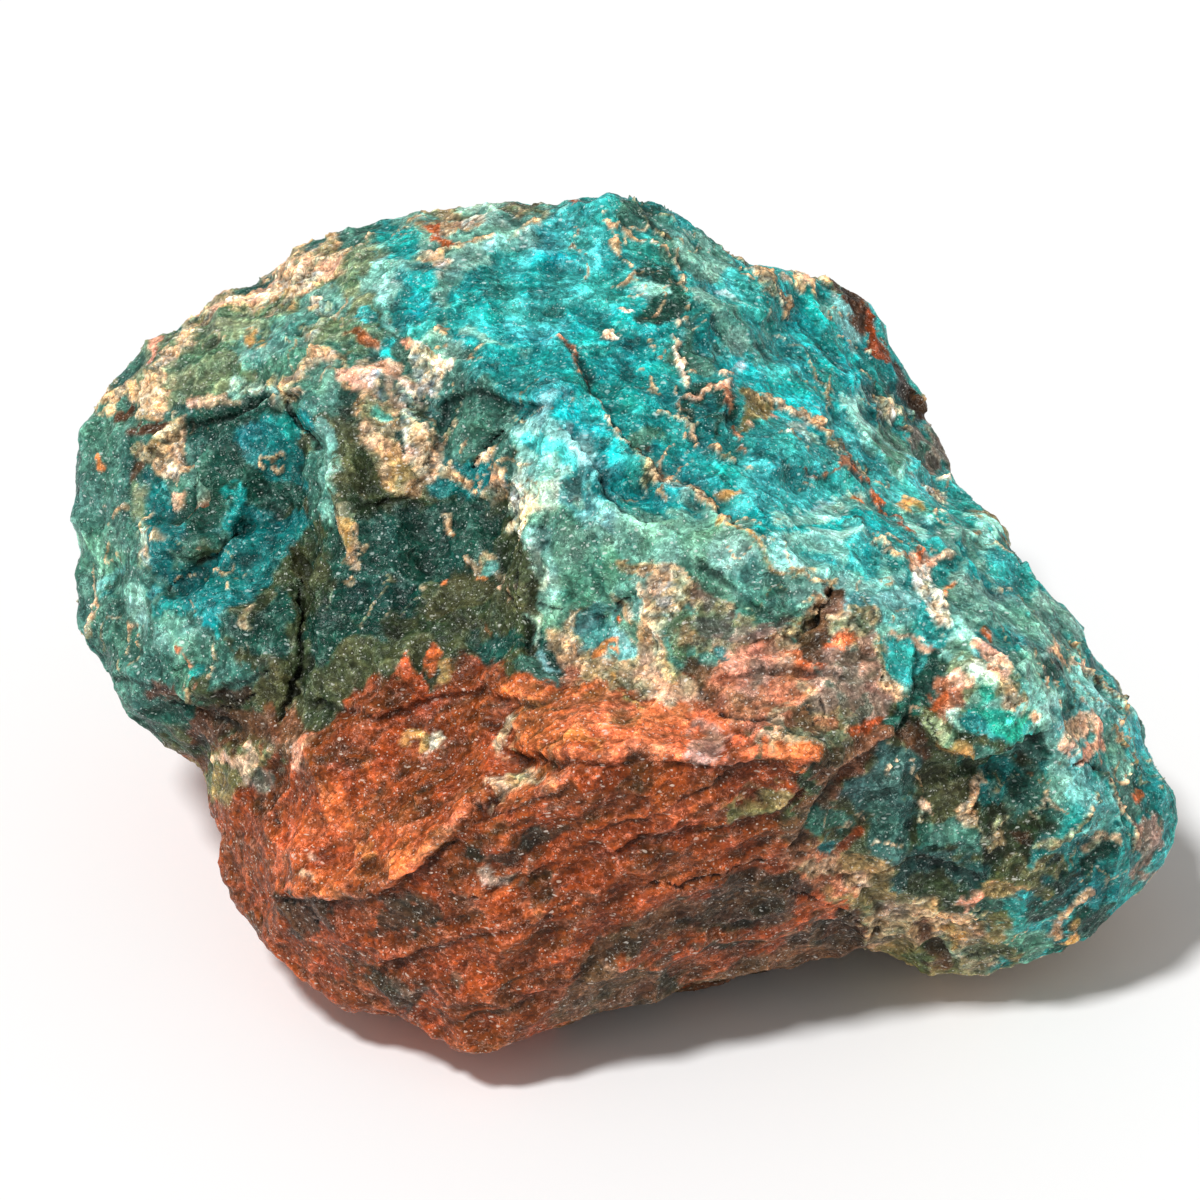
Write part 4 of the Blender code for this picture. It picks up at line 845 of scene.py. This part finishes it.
def broken_facets(places, lean, seed=0):
    """Scoops side by side, each leaning its own way, that meet in sharp ridges: height, gap, number."""
    base = np.floor(places)
    lowest = np.full(len(places), 9.0)
    second = np.full(len(places), 9.0)
    kind = np.zeros(len(places))
    for offset in NEAR_CELLS:
        cell = base + np.array(offset)
        value = scrambled(cell, seed)
        away = places - cell - three_numbers(value)
        slope = three_numbers(value * np.uint32(0x85EBCA77) ^ (value >> np.uint32(9))) - 0.5
        height = inner_product(away, 0.6 * away + lean * slope)
        kind = np.where(height < lowest, slope[:, 0] + slope[:, 1], kind)
        second = np.where(height < lowest, lowest, np.minimum(second, height))
        lowest = np.minimum(lowest, height)
    return lowest, second - lowest, kind


def ease(share):
    share = np.clip(share, 0, 1)
    return share * share * (3 - 2 * share)


# The skin: the CAD stone as a fine even mesh in numpy arrays.


def fine_skin():
    """Corners and four-sided faces of the CAD stone, remeshed, in millimetres."""
    block = bpy.data.objects.new("block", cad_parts["jasper_stone"].data.copy())
    bpy.context.scene.collection.objects.link(block)
    bm = bmesh.new()
    bm.from_mesh(block.data)
    bmesh.ops.remove_doubles(bm, verts=bm.verts, dist=0.000001)
    bm.to_mesh(block.data)
    bm.free()
    remesh = block.modifiers.new("fine skin", "REMESH")
    remesh.mode = "VOXEL"
    remesh.voxel_size = SKIN_VOXEL * MM
    graph = bpy.context.evaluated_depsgraph_get()
    mesh = bpy.data.meshes.new_from_object(block.evaluated_get(graph), depsgraph=graph)
    bpy.data.objects.remove(block)
    places = np.empty(len(mesh.vertices) * 3)
    mesh.vertices.foreach_get("co", places)
    corners = np.empty(len(mesh.loops), np.int32)
    mesh.loops.foreach_get("vertex_index", corners)
    bpy.data.meshes.remove(mesh)
    return places.reshape(-1, 3) / MM, corners.reshape(-1, 4)


class Skin:
    """The fine mesh with what is measured on it."""

    def __init__(self):
        self.places, self.faces = fine_skin()
        ends = np.concatenate([self.faces[:, [k, (k + 1) % 4]] for k in range(4)])
        self.ends = np.concatenate([ends, ends[:, ::-1]])
        self.count = len(self.places)
        self.neighbours = np.bincount(self.ends[:, 0], minlength=self.count)

    def spread(self, values, passes):
        """Values averaged with their neighbours' again and again."""
        values = values.copy()
        start, end = self.ends.T
        for _ in range(passes):
            for k in range(values.shape[1]):
                mean = np.bincount(start, values[end, k], self.count) / self.neighbours
                values[:, k] += 0.6 * (mean - values[:, k])
        return values

    def normals(self, places=None):
        places = self.places if places is None else places
        a, b, c, d = (places[self.faces[:, k]] for k in range(4))
        across = np.cross(c - a, d - b)
        total = np.zeros((self.count, 3))
        for k in range(3):
            for corner in range(4):
                total[:, k] += np.bincount(self.faces[:, corner], across[:, k], self.count)
        return total / np.linalg.norm(total, axis=1, keepdims=True)


def as_seen(places):
    """Where places of the stone lie on the picture plane, as (right, up)."""
    near = places[:, 2] * SINE - places[:, 1] * COSINE
    up = places[:, 1] * SINE + places[:, 2] * COSINE
    return np.stack([places[:, 0], up], axis=1) / (1 - near / VIEW_DISTANCE)[:, None]


def within(places, low, high):
    """Which places lie between two corners."""
    inside = np.ones(len(places), bool)
    for k in range(places.shape[1]):
        inside &= (places[:, k] > low[k]) & (places[:, k] < high[k])
    return np.flatnonzero(inside)


def off_line(places, line, reach):
    """How far places are from a line through points, out to the reach, and which side they lie on."""
    off = np.full(len(places), float(reach))
    side = np.zeros(len(places))
    line = np.array(line, float)
    nearby = within(places, line.min(axis=0) - reach, line.max(axis=0) + reach)
    for start, end in zip(line, line[1:]):
        inside = within(places[nearby], np.minimum(start, end) - reach, np.maximum(start, end) + reach)
        around = nearby[inside]
        away = places[around] - start
        along = end - start
        share = np.clip(away @ along / (along @ along), 0, 1)
        gap = np.sqrt(np.square(away - share[:, None] * along).sum(axis=1))
        closer = gap < off[around]
        off[around[closer]] = gap[closer]
        if len(along) == 2:
            turn = along[0] * away[:, 1] - along[1] * away[:, 0]
            side[around[closer]] = np.sign(turn[closer])
    return off, side


def ground(places, strokes, jitter, soft):
    """Each place takes the colours of the broad strokes that it lies deepest in or nearest to."""
    colours = np.zeros((len(places), 4))
    total = np.zeros(len(places))
    for k, (name, radius, line) in enumerate(strokes):
        off, _ = off_line(places, line, 300)
        off += jitter * (1 if k % 2 else -1) - radius
        weight = np.exp(np.clip(-off / soft, -60, 60))
        colours += weight[:, None] * np.array(PALETTE[name])
        total += weight
    return colours / total[:, None]


def brush(colours, places, strokes, jitter):
    """Strokes of colour over what is there."""
    for name, radius, line in strokes:
        soft = 0.25 + 0.25 * radius
        off, _ = off_line(places, line, radius + soft + 1)
        cover = ease((radius - off + jitter * min(1.0, radius)) / soft + 0.5)
        touched = np.flatnonzero(cover > 0.001)
        target = np.array(PALETTE[name])
        colours[touched] += cover[touched, None] * (target - colours[touched])


def painted(middle_places, seen, facing):
    """Red, green, blue and lumpiness of each place."""
    warp = 1.3 * drift(middle_places / 6, 3) + 0.55 * drift(middle_places / 1.9, 5)
    _, _, kind, _ = grains(middle_places / 0.9 + 0.3 * warp, 11)
    jitter = 0.8 * (kind[:, 0] - 0.5)
    colours = ground(middle_places + 3 * warp, HIDDEN_SIDES, 2 * jitter, HIDDEN_BLEND)
    front = ease((facing + 0.32) / 0.3)
    places = seen + warp[:, :2]
    front_colours = ground(places, GROUND, jitter, FRONT_BLEND)
    for group in PAINT:
        brush(front_colours, places, group, jitter)
    colours += front[:, None] * (front_colours - colours)
    for size, seed, hue, light in ((1.4, 71, 0.05, 0.15), (4.5, 76, 0.07, 0.2)):
        tint = hue * drift(middle_places / size, seed)
        tint += light * waves(middle_places / size, seed + 1)[:, None]
        colours[:, :3] *= np.clip(1 + tint, 0.5, 1.6)
    return colours


def shine(colours, cover):
    """Paler colour along an edge that catches the light."""
    colours[:, :3] += cover[:, None] * (0.6 * colours[:, :3] + 0.04)


def faceted(middle_places, warp, colours):
    """Broken facets on the layers of the rock, each facet's colour painted lighter or darker as painted
    light and shade, with a painted highlight along their edges.
    """
    large, large_gap, large_kind = broken_facets(middle_places / LARGE_FACET + 0.15 * warp, 1.3, 31)
    small, small_gap, small_kind = broken_facets(middle_places / SMALL_FACET + 0.2 * warp, 1.2, 32)
    red = ease((colours[:, 0] - 1.3 * colours[:, 1]) / 0.1)
    red_layer = layered(middle_places + 0.5 * warp, RED_LAYERS, 41)
    green_layer = layered(middle_places + 0.5 * warp, GREEN_LAYERS, 44)
    # Painted light and shade: each facet is made lighter or darker by the way that it leans; the rock's
    # layers add their own tone.
    shade = (0.4 - 0.2 * red) * large_kind + (0.3 - 0.12 * red) * small_kind
    shade += 0.17 * red * red_layer + 0.16 * (1 - red) * green_layer
    colours[:, 0] *= np.clip(1 + 1.7 * shade, 0.35, 2.2)
    colours[:, 1:3] *= np.clip(1 + shade, 0.4, 1.8)[:, None]
    # Painted highlight along the facets' edges, in patches and less on crust.
    edge = np.maximum(0.9 * ease(1 - large_gap / 0.045), 0.6 * ease(1 - small_gap / 0.07))
    shine(colours, edge * ease(0.5 + 1.6 * waves(middle_places / 3.2, 27)) * (1 - 0.7 * colours[:, 3]))
    relief = 2.1 * large + (0.75 - 0.4 * red) * small
    return relief + 0.11 * red * red_layer + 0.07 * (1 - red) * green_layer


def stepped(places, front, colours):
    """Scarps, with painted shade at their feet and a painted highlight along their brows."""
    relief = np.zeros(len(places))
    for height, reach, line in STEPS:
        off, side = off_line(places, line, reach)
        relief += front * height * 0.5 * side * np.minimum(1, off / WALL) * ease(1 - off / reach)
        # Painted shade at the foot of each scarp, and a painted highlight along its brow.
        colours[:, :3] *= (1 - 0.55 * front * (side < 0) * ease(1 - off / (0.4 * reach)))[:, None]
        shine(colours, front * (side > 0) * ease(1 - off / WALL) * 0.4)
    return relief


def ridged(places, front, colours):
    """Sharp crests, with a painted highlight along the top."""
    relief = np.zeros(len(places))
    for height, width, line in RIDGES:
        off, _ = off_line(places, line, width)
        relief += front * height * (1 - off / width)
        # Painted highlight along each crest.
        shine(colours, front * ease(1 - off / LIT_EDGE) * 0.5)
    return relief


def cracked(middle_places, places, front, colours):
    """Open cracks with ragged sides, with painted shade inside."""
    relief = np.zeros(len(places))
    ragged = np.clip(0.75 + 0.8 * waves(middle_places / 1.7, 26), 0.05, 1.5)
    for width, depth, line in CRACKS:
        off, _ = off_line(places, line, 1.5 * width)
        inside = front * np.clip(1 - off / (0.6 * width * ragged), 0, 1)
        relief -= depth * 0.8 * inside
        # Painted shade inside each crack.
        colours[:, :3] *= (1 - 0.7 * ease(1.3 * inside))[:, None]
    return relief


def crumbled(middle_places, warp, colours):
    """Crumbs of crust, each of its own tone with painted shade in the gaps between them, and the fine grain
    that lies everywhere.
    """
    lump = colours[:, 3]
    relief = np.zeros(len(middle_places))
    for size, seed, height in ((CRUMB, 51, 0.33), (0.6 * CRUMB, 52, 0.18)):
        near, gap, kind, slope = grains(middle_places / size + 0.2 * warp, seed)
        relief += lump * height * (kind[:, 0] + 1.6 * slope - 0.8 * near ** 2 + 0.2)
        # Each crumb's own tone, and painted shade that darkens the narrow gaps between crumbs.
        tone = 0.6 * (kind[:, 1] - 0.5)[:, None] + (kind[:, 2] - 0.5)[:, None] * (0.3, 0.0, -0.3)
        colours[:, :3] *= 1 + lump[:, None] * (tone - 0.4 * ease(1 - gap / 0.16)[:, None])
    near, _, kind, slope = grains(middle_places / FINE_GRAIN, 53)
    return relief + 0.035 * (kind[:, 0] + 2 * slope - near)


def carved(middle_places, seen, colours, facing):
    """How far the finished skin stands off the smooth one, in millimetres."""
    front = ease((facing - 0.05) / 0.2)
    warp = drift(middle_places / 2.6, 21)
    relief = faceted(middle_places, warp, colours)
    places = seen + 0.25 * warp[:, :2] + 0.2 * drift(middle_places / 0.8, 24)[:, :2]
    relief += stepped(places, front, colours)
    relief += ridged(places, front, colours)
    relief += cracked(middle_places, places, front, colours)
    return relief + crumbled(middle_places, warp, colours)


def veined(colours, middle_places, seen, facing):
    """Grainy veins, painted and slightly proud."""
    front = ease(facing / 0.2)
    warp = drift(middle_places / 2.2, 61)
    _, _, kind, _ = grains(middle_places / FINE_GRAIN, 62)
    places = seen + 0.35 * warp[:, :2] + 0.25 * drift(middle_places / 0.8, 64)[:, :2]
    proud = np.zeros(len(seen))
    for name, width, line in VEINS:
        off, _ = off_line(places, line, width + 1.5)
        wide = width * (0.65 + 0.9 * warp[:, 2]) + 0.35 * (kind[:, 0] - 0.55)
        cover = front * ease((wide - off) / 0.2 + 0.5)
        target = np.tile(PALETTE[name], (len(seen), 1))
        target[:, :3] *= (0.3 + kind[:, 1])[:, None]
        colours += cover[:, None] * (target - colours)
        proud = np.maximum(proud, cover)
    green = ease((colours[:, 1] - 1.2 * colours[:, 0]) / 0.08)
    hair = np.abs(waves(middle_places / 4.5 + 0.2 * warp, 65))
    cover = green * ease((waves(middle_places / 8.0, 66) - 0.02) / 0.2) * (kind[:, 2] > 0.3)
    cover *= ease((0.06 - hair) / 0.03 + 0.5)
    colours += cover[:, None] * (np.array(PALETTE["tan"]) * (0.4 + 0.8 * kind[:, 1:2]) - colours)
    return np.maximum(proud, 0.4 * cover)


def hollowness(skin, places, normals, passes):
    """Positive in hollows and negative on ridges, in millimetres."""
    mean = skin.spread(places, passes)
    return ((mean - places) * normals).sum(axis=1)


# The pieces that the skin is cut into: the way that each one's middle faces.

PIECE_AXES = {
    "front": TOWARDS_VIEWER,
    "back": np.array([0.0, 0.93, 0.37]),
    "underside": np.array([0.0, 0.3, -0.95]),
}


def plane_of(axis):
    """Two ways across a piece, square to the way that it faces."""
    right = np.array([1.0, 0.0, 0.0])
    return right, np.cross(axis, right)


def make_piece(name, skin, chosen, places, normals, axis, attributes, material):
    """One piece of the skin as an object, with its colours and traits at each corner."""
    faces = skin.faces[chosen]
    used, flat = np.unique(faces, return_inverse=True)
    mesh = bpy.data.meshes.new(name)
    mesh.vertices.add(len(used))
    mesh.vertices.foreach_set("co", (places[used] * MM).astype(np.float32).ravel())
    mesh.loops.add(faces.size)
    mesh.loops.foreach_set("vertex_index", flat.reshape(-1).astype(np.int32))
    mesh.polygons.add(len(faces))
    mesh.polygons.foreach_set("loop_start", np.arange(0, faces.size, 4, dtype=np.int32))
    mesh.update()
    mesh.validate()
    mesh.shade_smooth()
    mesh.normals_split_custom_set_from_vertices(normals[used].astype(np.float32))
    for key, values in attributes.items():
        if values.ndim == 2:
            layer = mesh.color_attributes.new(key, "FLOAT_COLOR", "POINT")
            rows = np.ones((len(used), 4), np.float32)
            rows[:, :3] = values[used, :3]
            layer.data.foreach_set("color", rows.ravel())
        else:
            layer = mesh.attributes.new(key, "FLOAT", "POINT")
            layer.data.foreach_set("value", values[used].astype(np.float32))
    right, up = plane_of(axis)
    flat_places = np.stack([places[used] @ right, places[used] @ up], axis=1)
    low, high = flat_places.min(axis=0), flat_places.max(axis=0)
    spots = 0.01 + 0.98 * (flat_places - low) / (high - low)
    layer = mesh.uv_layers.new(name="OFBake")
    layer.data.foreach_set("uv", spots[flat.reshape(-1)].astype(np.float32).ravel())
    mesh.materials.append(material)
    piece = bpy.data.objects.new(name, mesh)
    bpy.context.scene.collection.objects.link(piece)
    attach(piece, "root")
    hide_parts("jasper_stone")
    return piece


class Nodes:
    """Short ways to add and join shader nodes."""

    def __init__(self, name):
        self.material = bpy.data.materials.new(name)
        self.material.use_nodes = True
        self.tree = self.material.node_tree
        self.shader = self.tree.nodes["Principled BSDF"]

    def put(self, value, socket):
        """Lead another node's output into a socket, or set a plain value on it."""
        if isinstance(value, bpy.types.NodeSocket):
            self.tree.links.new(value, socket)
        else:
            socket.default_value = value

    def add(self, kind, inputs, **settings):
        node = self.tree.nodes.new(kind)
        for key, value in settings.items():
            setattr(node, key, value)
        for key, value in inputs.items():
            self.put(value, node.inputs[key])
        return node

    def maths(self, operation, a, b=0.0):
        return self.add("ShaderNodeMath", {0: a, 1: b}, operation=operation).outputs[0]

    def times(self, a, b):
        return self.maths("MULTIPLY", a, b)

    def vector(self, operation, a, b):
        return self.add("ShaderNodeVectorMath", {0: a, 1: b}, operation=operation).outputs[0]

    def ramp(self, value, low, high, to_low=0.0, to_high=1.0):
        inputs = {"Value": value, "From Min": low, "From Max": high, "To Min": to_low, "To Max": to_high}
        return self.add("ShaderNodeMapRange", inputs).outputs[0]

    def noise(self, places, scale, detail, distortion=0.0):
        inputs = {"Vector": places, "Scale": scale, "Detail": detail, "Distortion": distortion}
        return self.add("ShaderNodeTexNoise", inputs).outputs

    def crystals(self, places, scale):
        """How far each place is from its crystal's middle, and three numbers of the crystal."""
        cells = self.add("ShaderNodeTexVoronoi", {"Vector": places, "Scale": scale}).outputs
        return cells["Distance"], self.add("ShaderNodeSeparateColor", {"Color": cells["Color"]}).outputs

    def mix(self, share, a, b, blend="MIX"):
        node = self.add("ShaderNodeMix", {}, data_type="RGBA", blend_type=blend)
        for key, value in (("Factor_Float", share), ("A_Color", a), ("B_Color", b)):
            self.put(value, next(s for s in node.inputs if s.identifier == key))
        return next(s for s in node.outputs if s.identifier == "Result_Color")

    def attribute(self, name, output="Fac"):
        return self.add("ShaderNodeAttribute", {}, attribute_name=name).outputs[output]


def jasper_material():
    """Glassy grains and larger crystals in cloudy colour, with painted shade in hollows, a painted
    highlight on ridges, and thin bright threads and glints painted as highlights.
    """
    n = Nodes("broken_jasper")
    coordinates = n.add("ShaderNodeTexCoord", {}).outputs["Object"]
    space = n.vector("MULTIPLY", coordinates, (1 / MM, 1 / MM, 1 / MM))
    sway = n.vector("MULTIPLY", n.noise(space, 1.4, 1.0)["Color"], (0.5, 0.5, 0.5))
    bent = n.vector("ADD", space, sway)
    paint = n.attribute("paint", "Color")
    hollow = n.attribute("hollow")
    lump = n.attribute("lump")
    grain_off, grain = n.crystals(bent, 3.0)
    crystal_off, crystal = n.crystals(n.vector("MULTIPLY", bent, (0.55, 1.0, 1.3)), 1.9)
    cloud = n.noise(space, 0.4, 4.0)["Fac"]
    curls = n.noise(space, 2.2, 1.0, 1.1)["Fac"]
    patches = n.noise(space, 1.6, 0.0)["Fac"]

    # Painted shade in hollows and a painted highlight on ridges, from the hollow attribute; the grains,
    # crystals, clouds and curls then add the stone's own tone.
    bright = n.ramp(hollow, -0.28, 0.28, 1.35, 0.4)
    for value, low, high, change in (
        (grain[0], 0.0, 1.0, 0.3),
        (crystal[0], 0.0, 1.0, 0.26),
        (cloud, 0.3, 0.7, 0.24),
        (curls, 0.36, 0.64, 0.22),
    ):
        bright = n.times(bright, n.ramp(value, low, high, 1 - change, 1 + change))
    colour = n.mix(1.0, paint, bright, "MULTIPLY")

    # Painted highlights show fully in the open and fade in hollows, where shade is painted.
    unshaded_share = n.ramp(hollow, 0.0, 0.25, 1.0, 0.35)
    # Painted highlights: thin bright threads along the curls, in patches.
    off_thread = n.maths("ABSOLUTE", n.maths("SUBTRACT", curls, 0.5))
    thread = n.times(n.ramp(off_thread, 0.012, 0.05, 1.0, 0.0), n.ramp(patches, 0.4, 0.62))
    lit = n.mix(1.0, n.mix(1.0, colour, (1.9, 1.9, 1.9, 1), "MULTIPLY"), (0.1, 0.11, 0.1, 1), "ADD")
    colour = n.mix(n.times(thread, unshaded_share), colour, lit)

    # Painted glints on some small grains and some larger crystals, in a paler, whiter version of the
    # colour.
    glint = n.times(n.ramp(grain_off, 0.2, 0.32, 1.0, 0.0), n.ramp(grain[2], 0.7, 0.86))
    crystal_glint = n.times(n.ramp(crystal_off, 0.2, 0.34, 1.0, 0.0), n.ramp(crystal[2], 0.85, 0.95))
    tinted = n.add("ShaderNodeGamma", {"Color": paint, "Gamma": 0.5}).outputs[0]
    pale = n.mix(0.35, tinted, (0.95, 0.95, 0.9, 1))
    colour = n.mix(n.times(n.maths("MAXIMUM", glint, crystal_glint), unshaded_share), colour, pale)

    rough = n.maths("ADD", n.ramp(grain[1], 0.0, 1.0, 0.22, 0.6), n.times(lump, 0.15))
    height = n.maths("ADD", n.times(grain[0], 0.5), n.times(grain_off, -0.6))
    height = n.maths("ADD", height, n.times(curls, 1.2))
    bump = n.add("ShaderNodeBump", {"Height": height, "Strength": 0.6, "Distance": 0.16 * MM})
    n.put(colour, n.shader.inputs["Base Color"])
    n.put(rough, n.shader.inputs["Roughness"])
    n.put(0.16, n.shader.inputs["Specular IOR Level"])
    n.put(bump.outputs[0], n.shader.inputs["Normal"])
    return n.material


def stone():
    """The painted and carved skin of the stone, in six pieces that meet edge to edge."""
    skin = Skin()
    skin.places = skin.spread(skin.places, SMOOTH_PASSES)
    normals = skin.normals()
    middle_places = skin.places - STONE_MIDDLE
    seen = as_seen(middle_places)
    facing = normals @ TOWARDS_VIEWER
    colours = painted(middle_places, seen, facing)
    proud = veined(colours, middle_places, seen, facing)
    relief = carved(middle_places, seen, colours, facing) + VEIN_HEIGHT * proud
    relief *= ease((skin.places[:, 2] - FOOT_HEIGHT) / 1.5)
    places = skin.places + normals * relief[:, None]
    places[:, 2] = np.maximum(places[:, 2], 0.0)
    finished_normals = skin.normals(places)
    # How hollow each place is, which the material turns into painted shade in hollows and a painted
    # highlight on ridges.
    hollow = hollowness(skin, places, finished_normals, SMALL_HOLLOW_PASSES)
    hollow += 0.35 * hollowness(skin, places, finished_normals, LARGE_HOLLOW_PASSES)
    attributes = {"paint": colours, "lump": colours[:, 3], "hollow": hollow}
    way = middle_places[skin.faces].mean(axis=1)
    way /= np.linalg.norm(way, axis=1, keepdims=True)
    kinds = np.argmax(np.stack([way @ axis for axis in PIECE_AXES.values()], axis=1), axis=1)
    material = jasper_material()
    for k, (name, axis) in enumerate(PIECE_AXES.items()):
        for end, half in (("left", way[:, 0] < 0), ("right", way[:, 0] >= 0)):
            chosen = (kinds == k) & half
            piece_name = f"jasper_{name}_{end}"
            make_piece(piece_name, skin, chosen, places, finished_normals, axis, attributes, material)


def world_point(right, up, near):
    """A point in the room, in metres, given as (right, up, near) from the stone's middle."""
    place = np.array([right, up * SINE - near * COSINE, up * COSINE + near * SINE])
    return Vector((place + STONE_MIDDLE) * MM)


def studio():
    """The photograph's angle of view, a pale floor, soft light all round and one soft key light."""
    scene = bpy.context.scene
    scene.view_settings.view_transform = "Standard"
    camera = bpy.data.objects.new("camera", bpy.data.cameras.new("camera"))
    scene.collection.objects.link(camera)
    camera.location = world_point(*VIEW_AIM, VIEW_DISTANCE)
    camera.rotation_euler = (math.pi / 2 - VIEW_ELEVATION, 0, 0)
    camera.data.sensor_width = SENSOR_WIDTH
    camera.data.lens = SENSOR_WIDTH * VIEW_DISTANCE / FRAME_WIDTH
    scene.camera = camera
    world = bpy.data.worlds.new("studio")
    world.use_nodes = True
    world.node_tree.nodes["Background"].inputs["Color"].default_value = (1, 1, 1, 1)
    world.node_tree.nodes["Background"].inputs["Strength"].default_value = 0.36
    scene.world = world
    floor_mesh = bpy.data.meshes.new("floor")
    corners = [(FLOOR_REACH * x, FLOOR_REACH * y, 0) for x, y in ((-1, -1), (1, -1), (1, 1), (-1, 1))]
    floor_mesh.from_pydata(corners, [], [(0, 1, 2, 3)])
    floor = bpy.data.objects.new("floor", floor_mesh)
    scene.collection.objects.link(floor)
    pale = bpy.data.materials.new("pale_floor")
    pale.use_nodes = True
    pale.node_tree.nodes["Principled BSDF"].inputs["Base Color"].default_value = (0.93, 0.93, 0.93, 1)
    pale.node_tree.nodes["Principled BSDF"].inputs["Roughness"].default_value = 0.8
    floor.data.materials.append(pale)
    sun = bpy.data.objects.new("key", bpy.data.lights.new("key", "SUN"))
    sun.data.energy = 2.7
    sun.data.angle = 0.15
    sun.rotation_euler = (math.radians(20), math.radians(-20), 0)
    scene.collection.objects.link(sun)


stone()
studio()
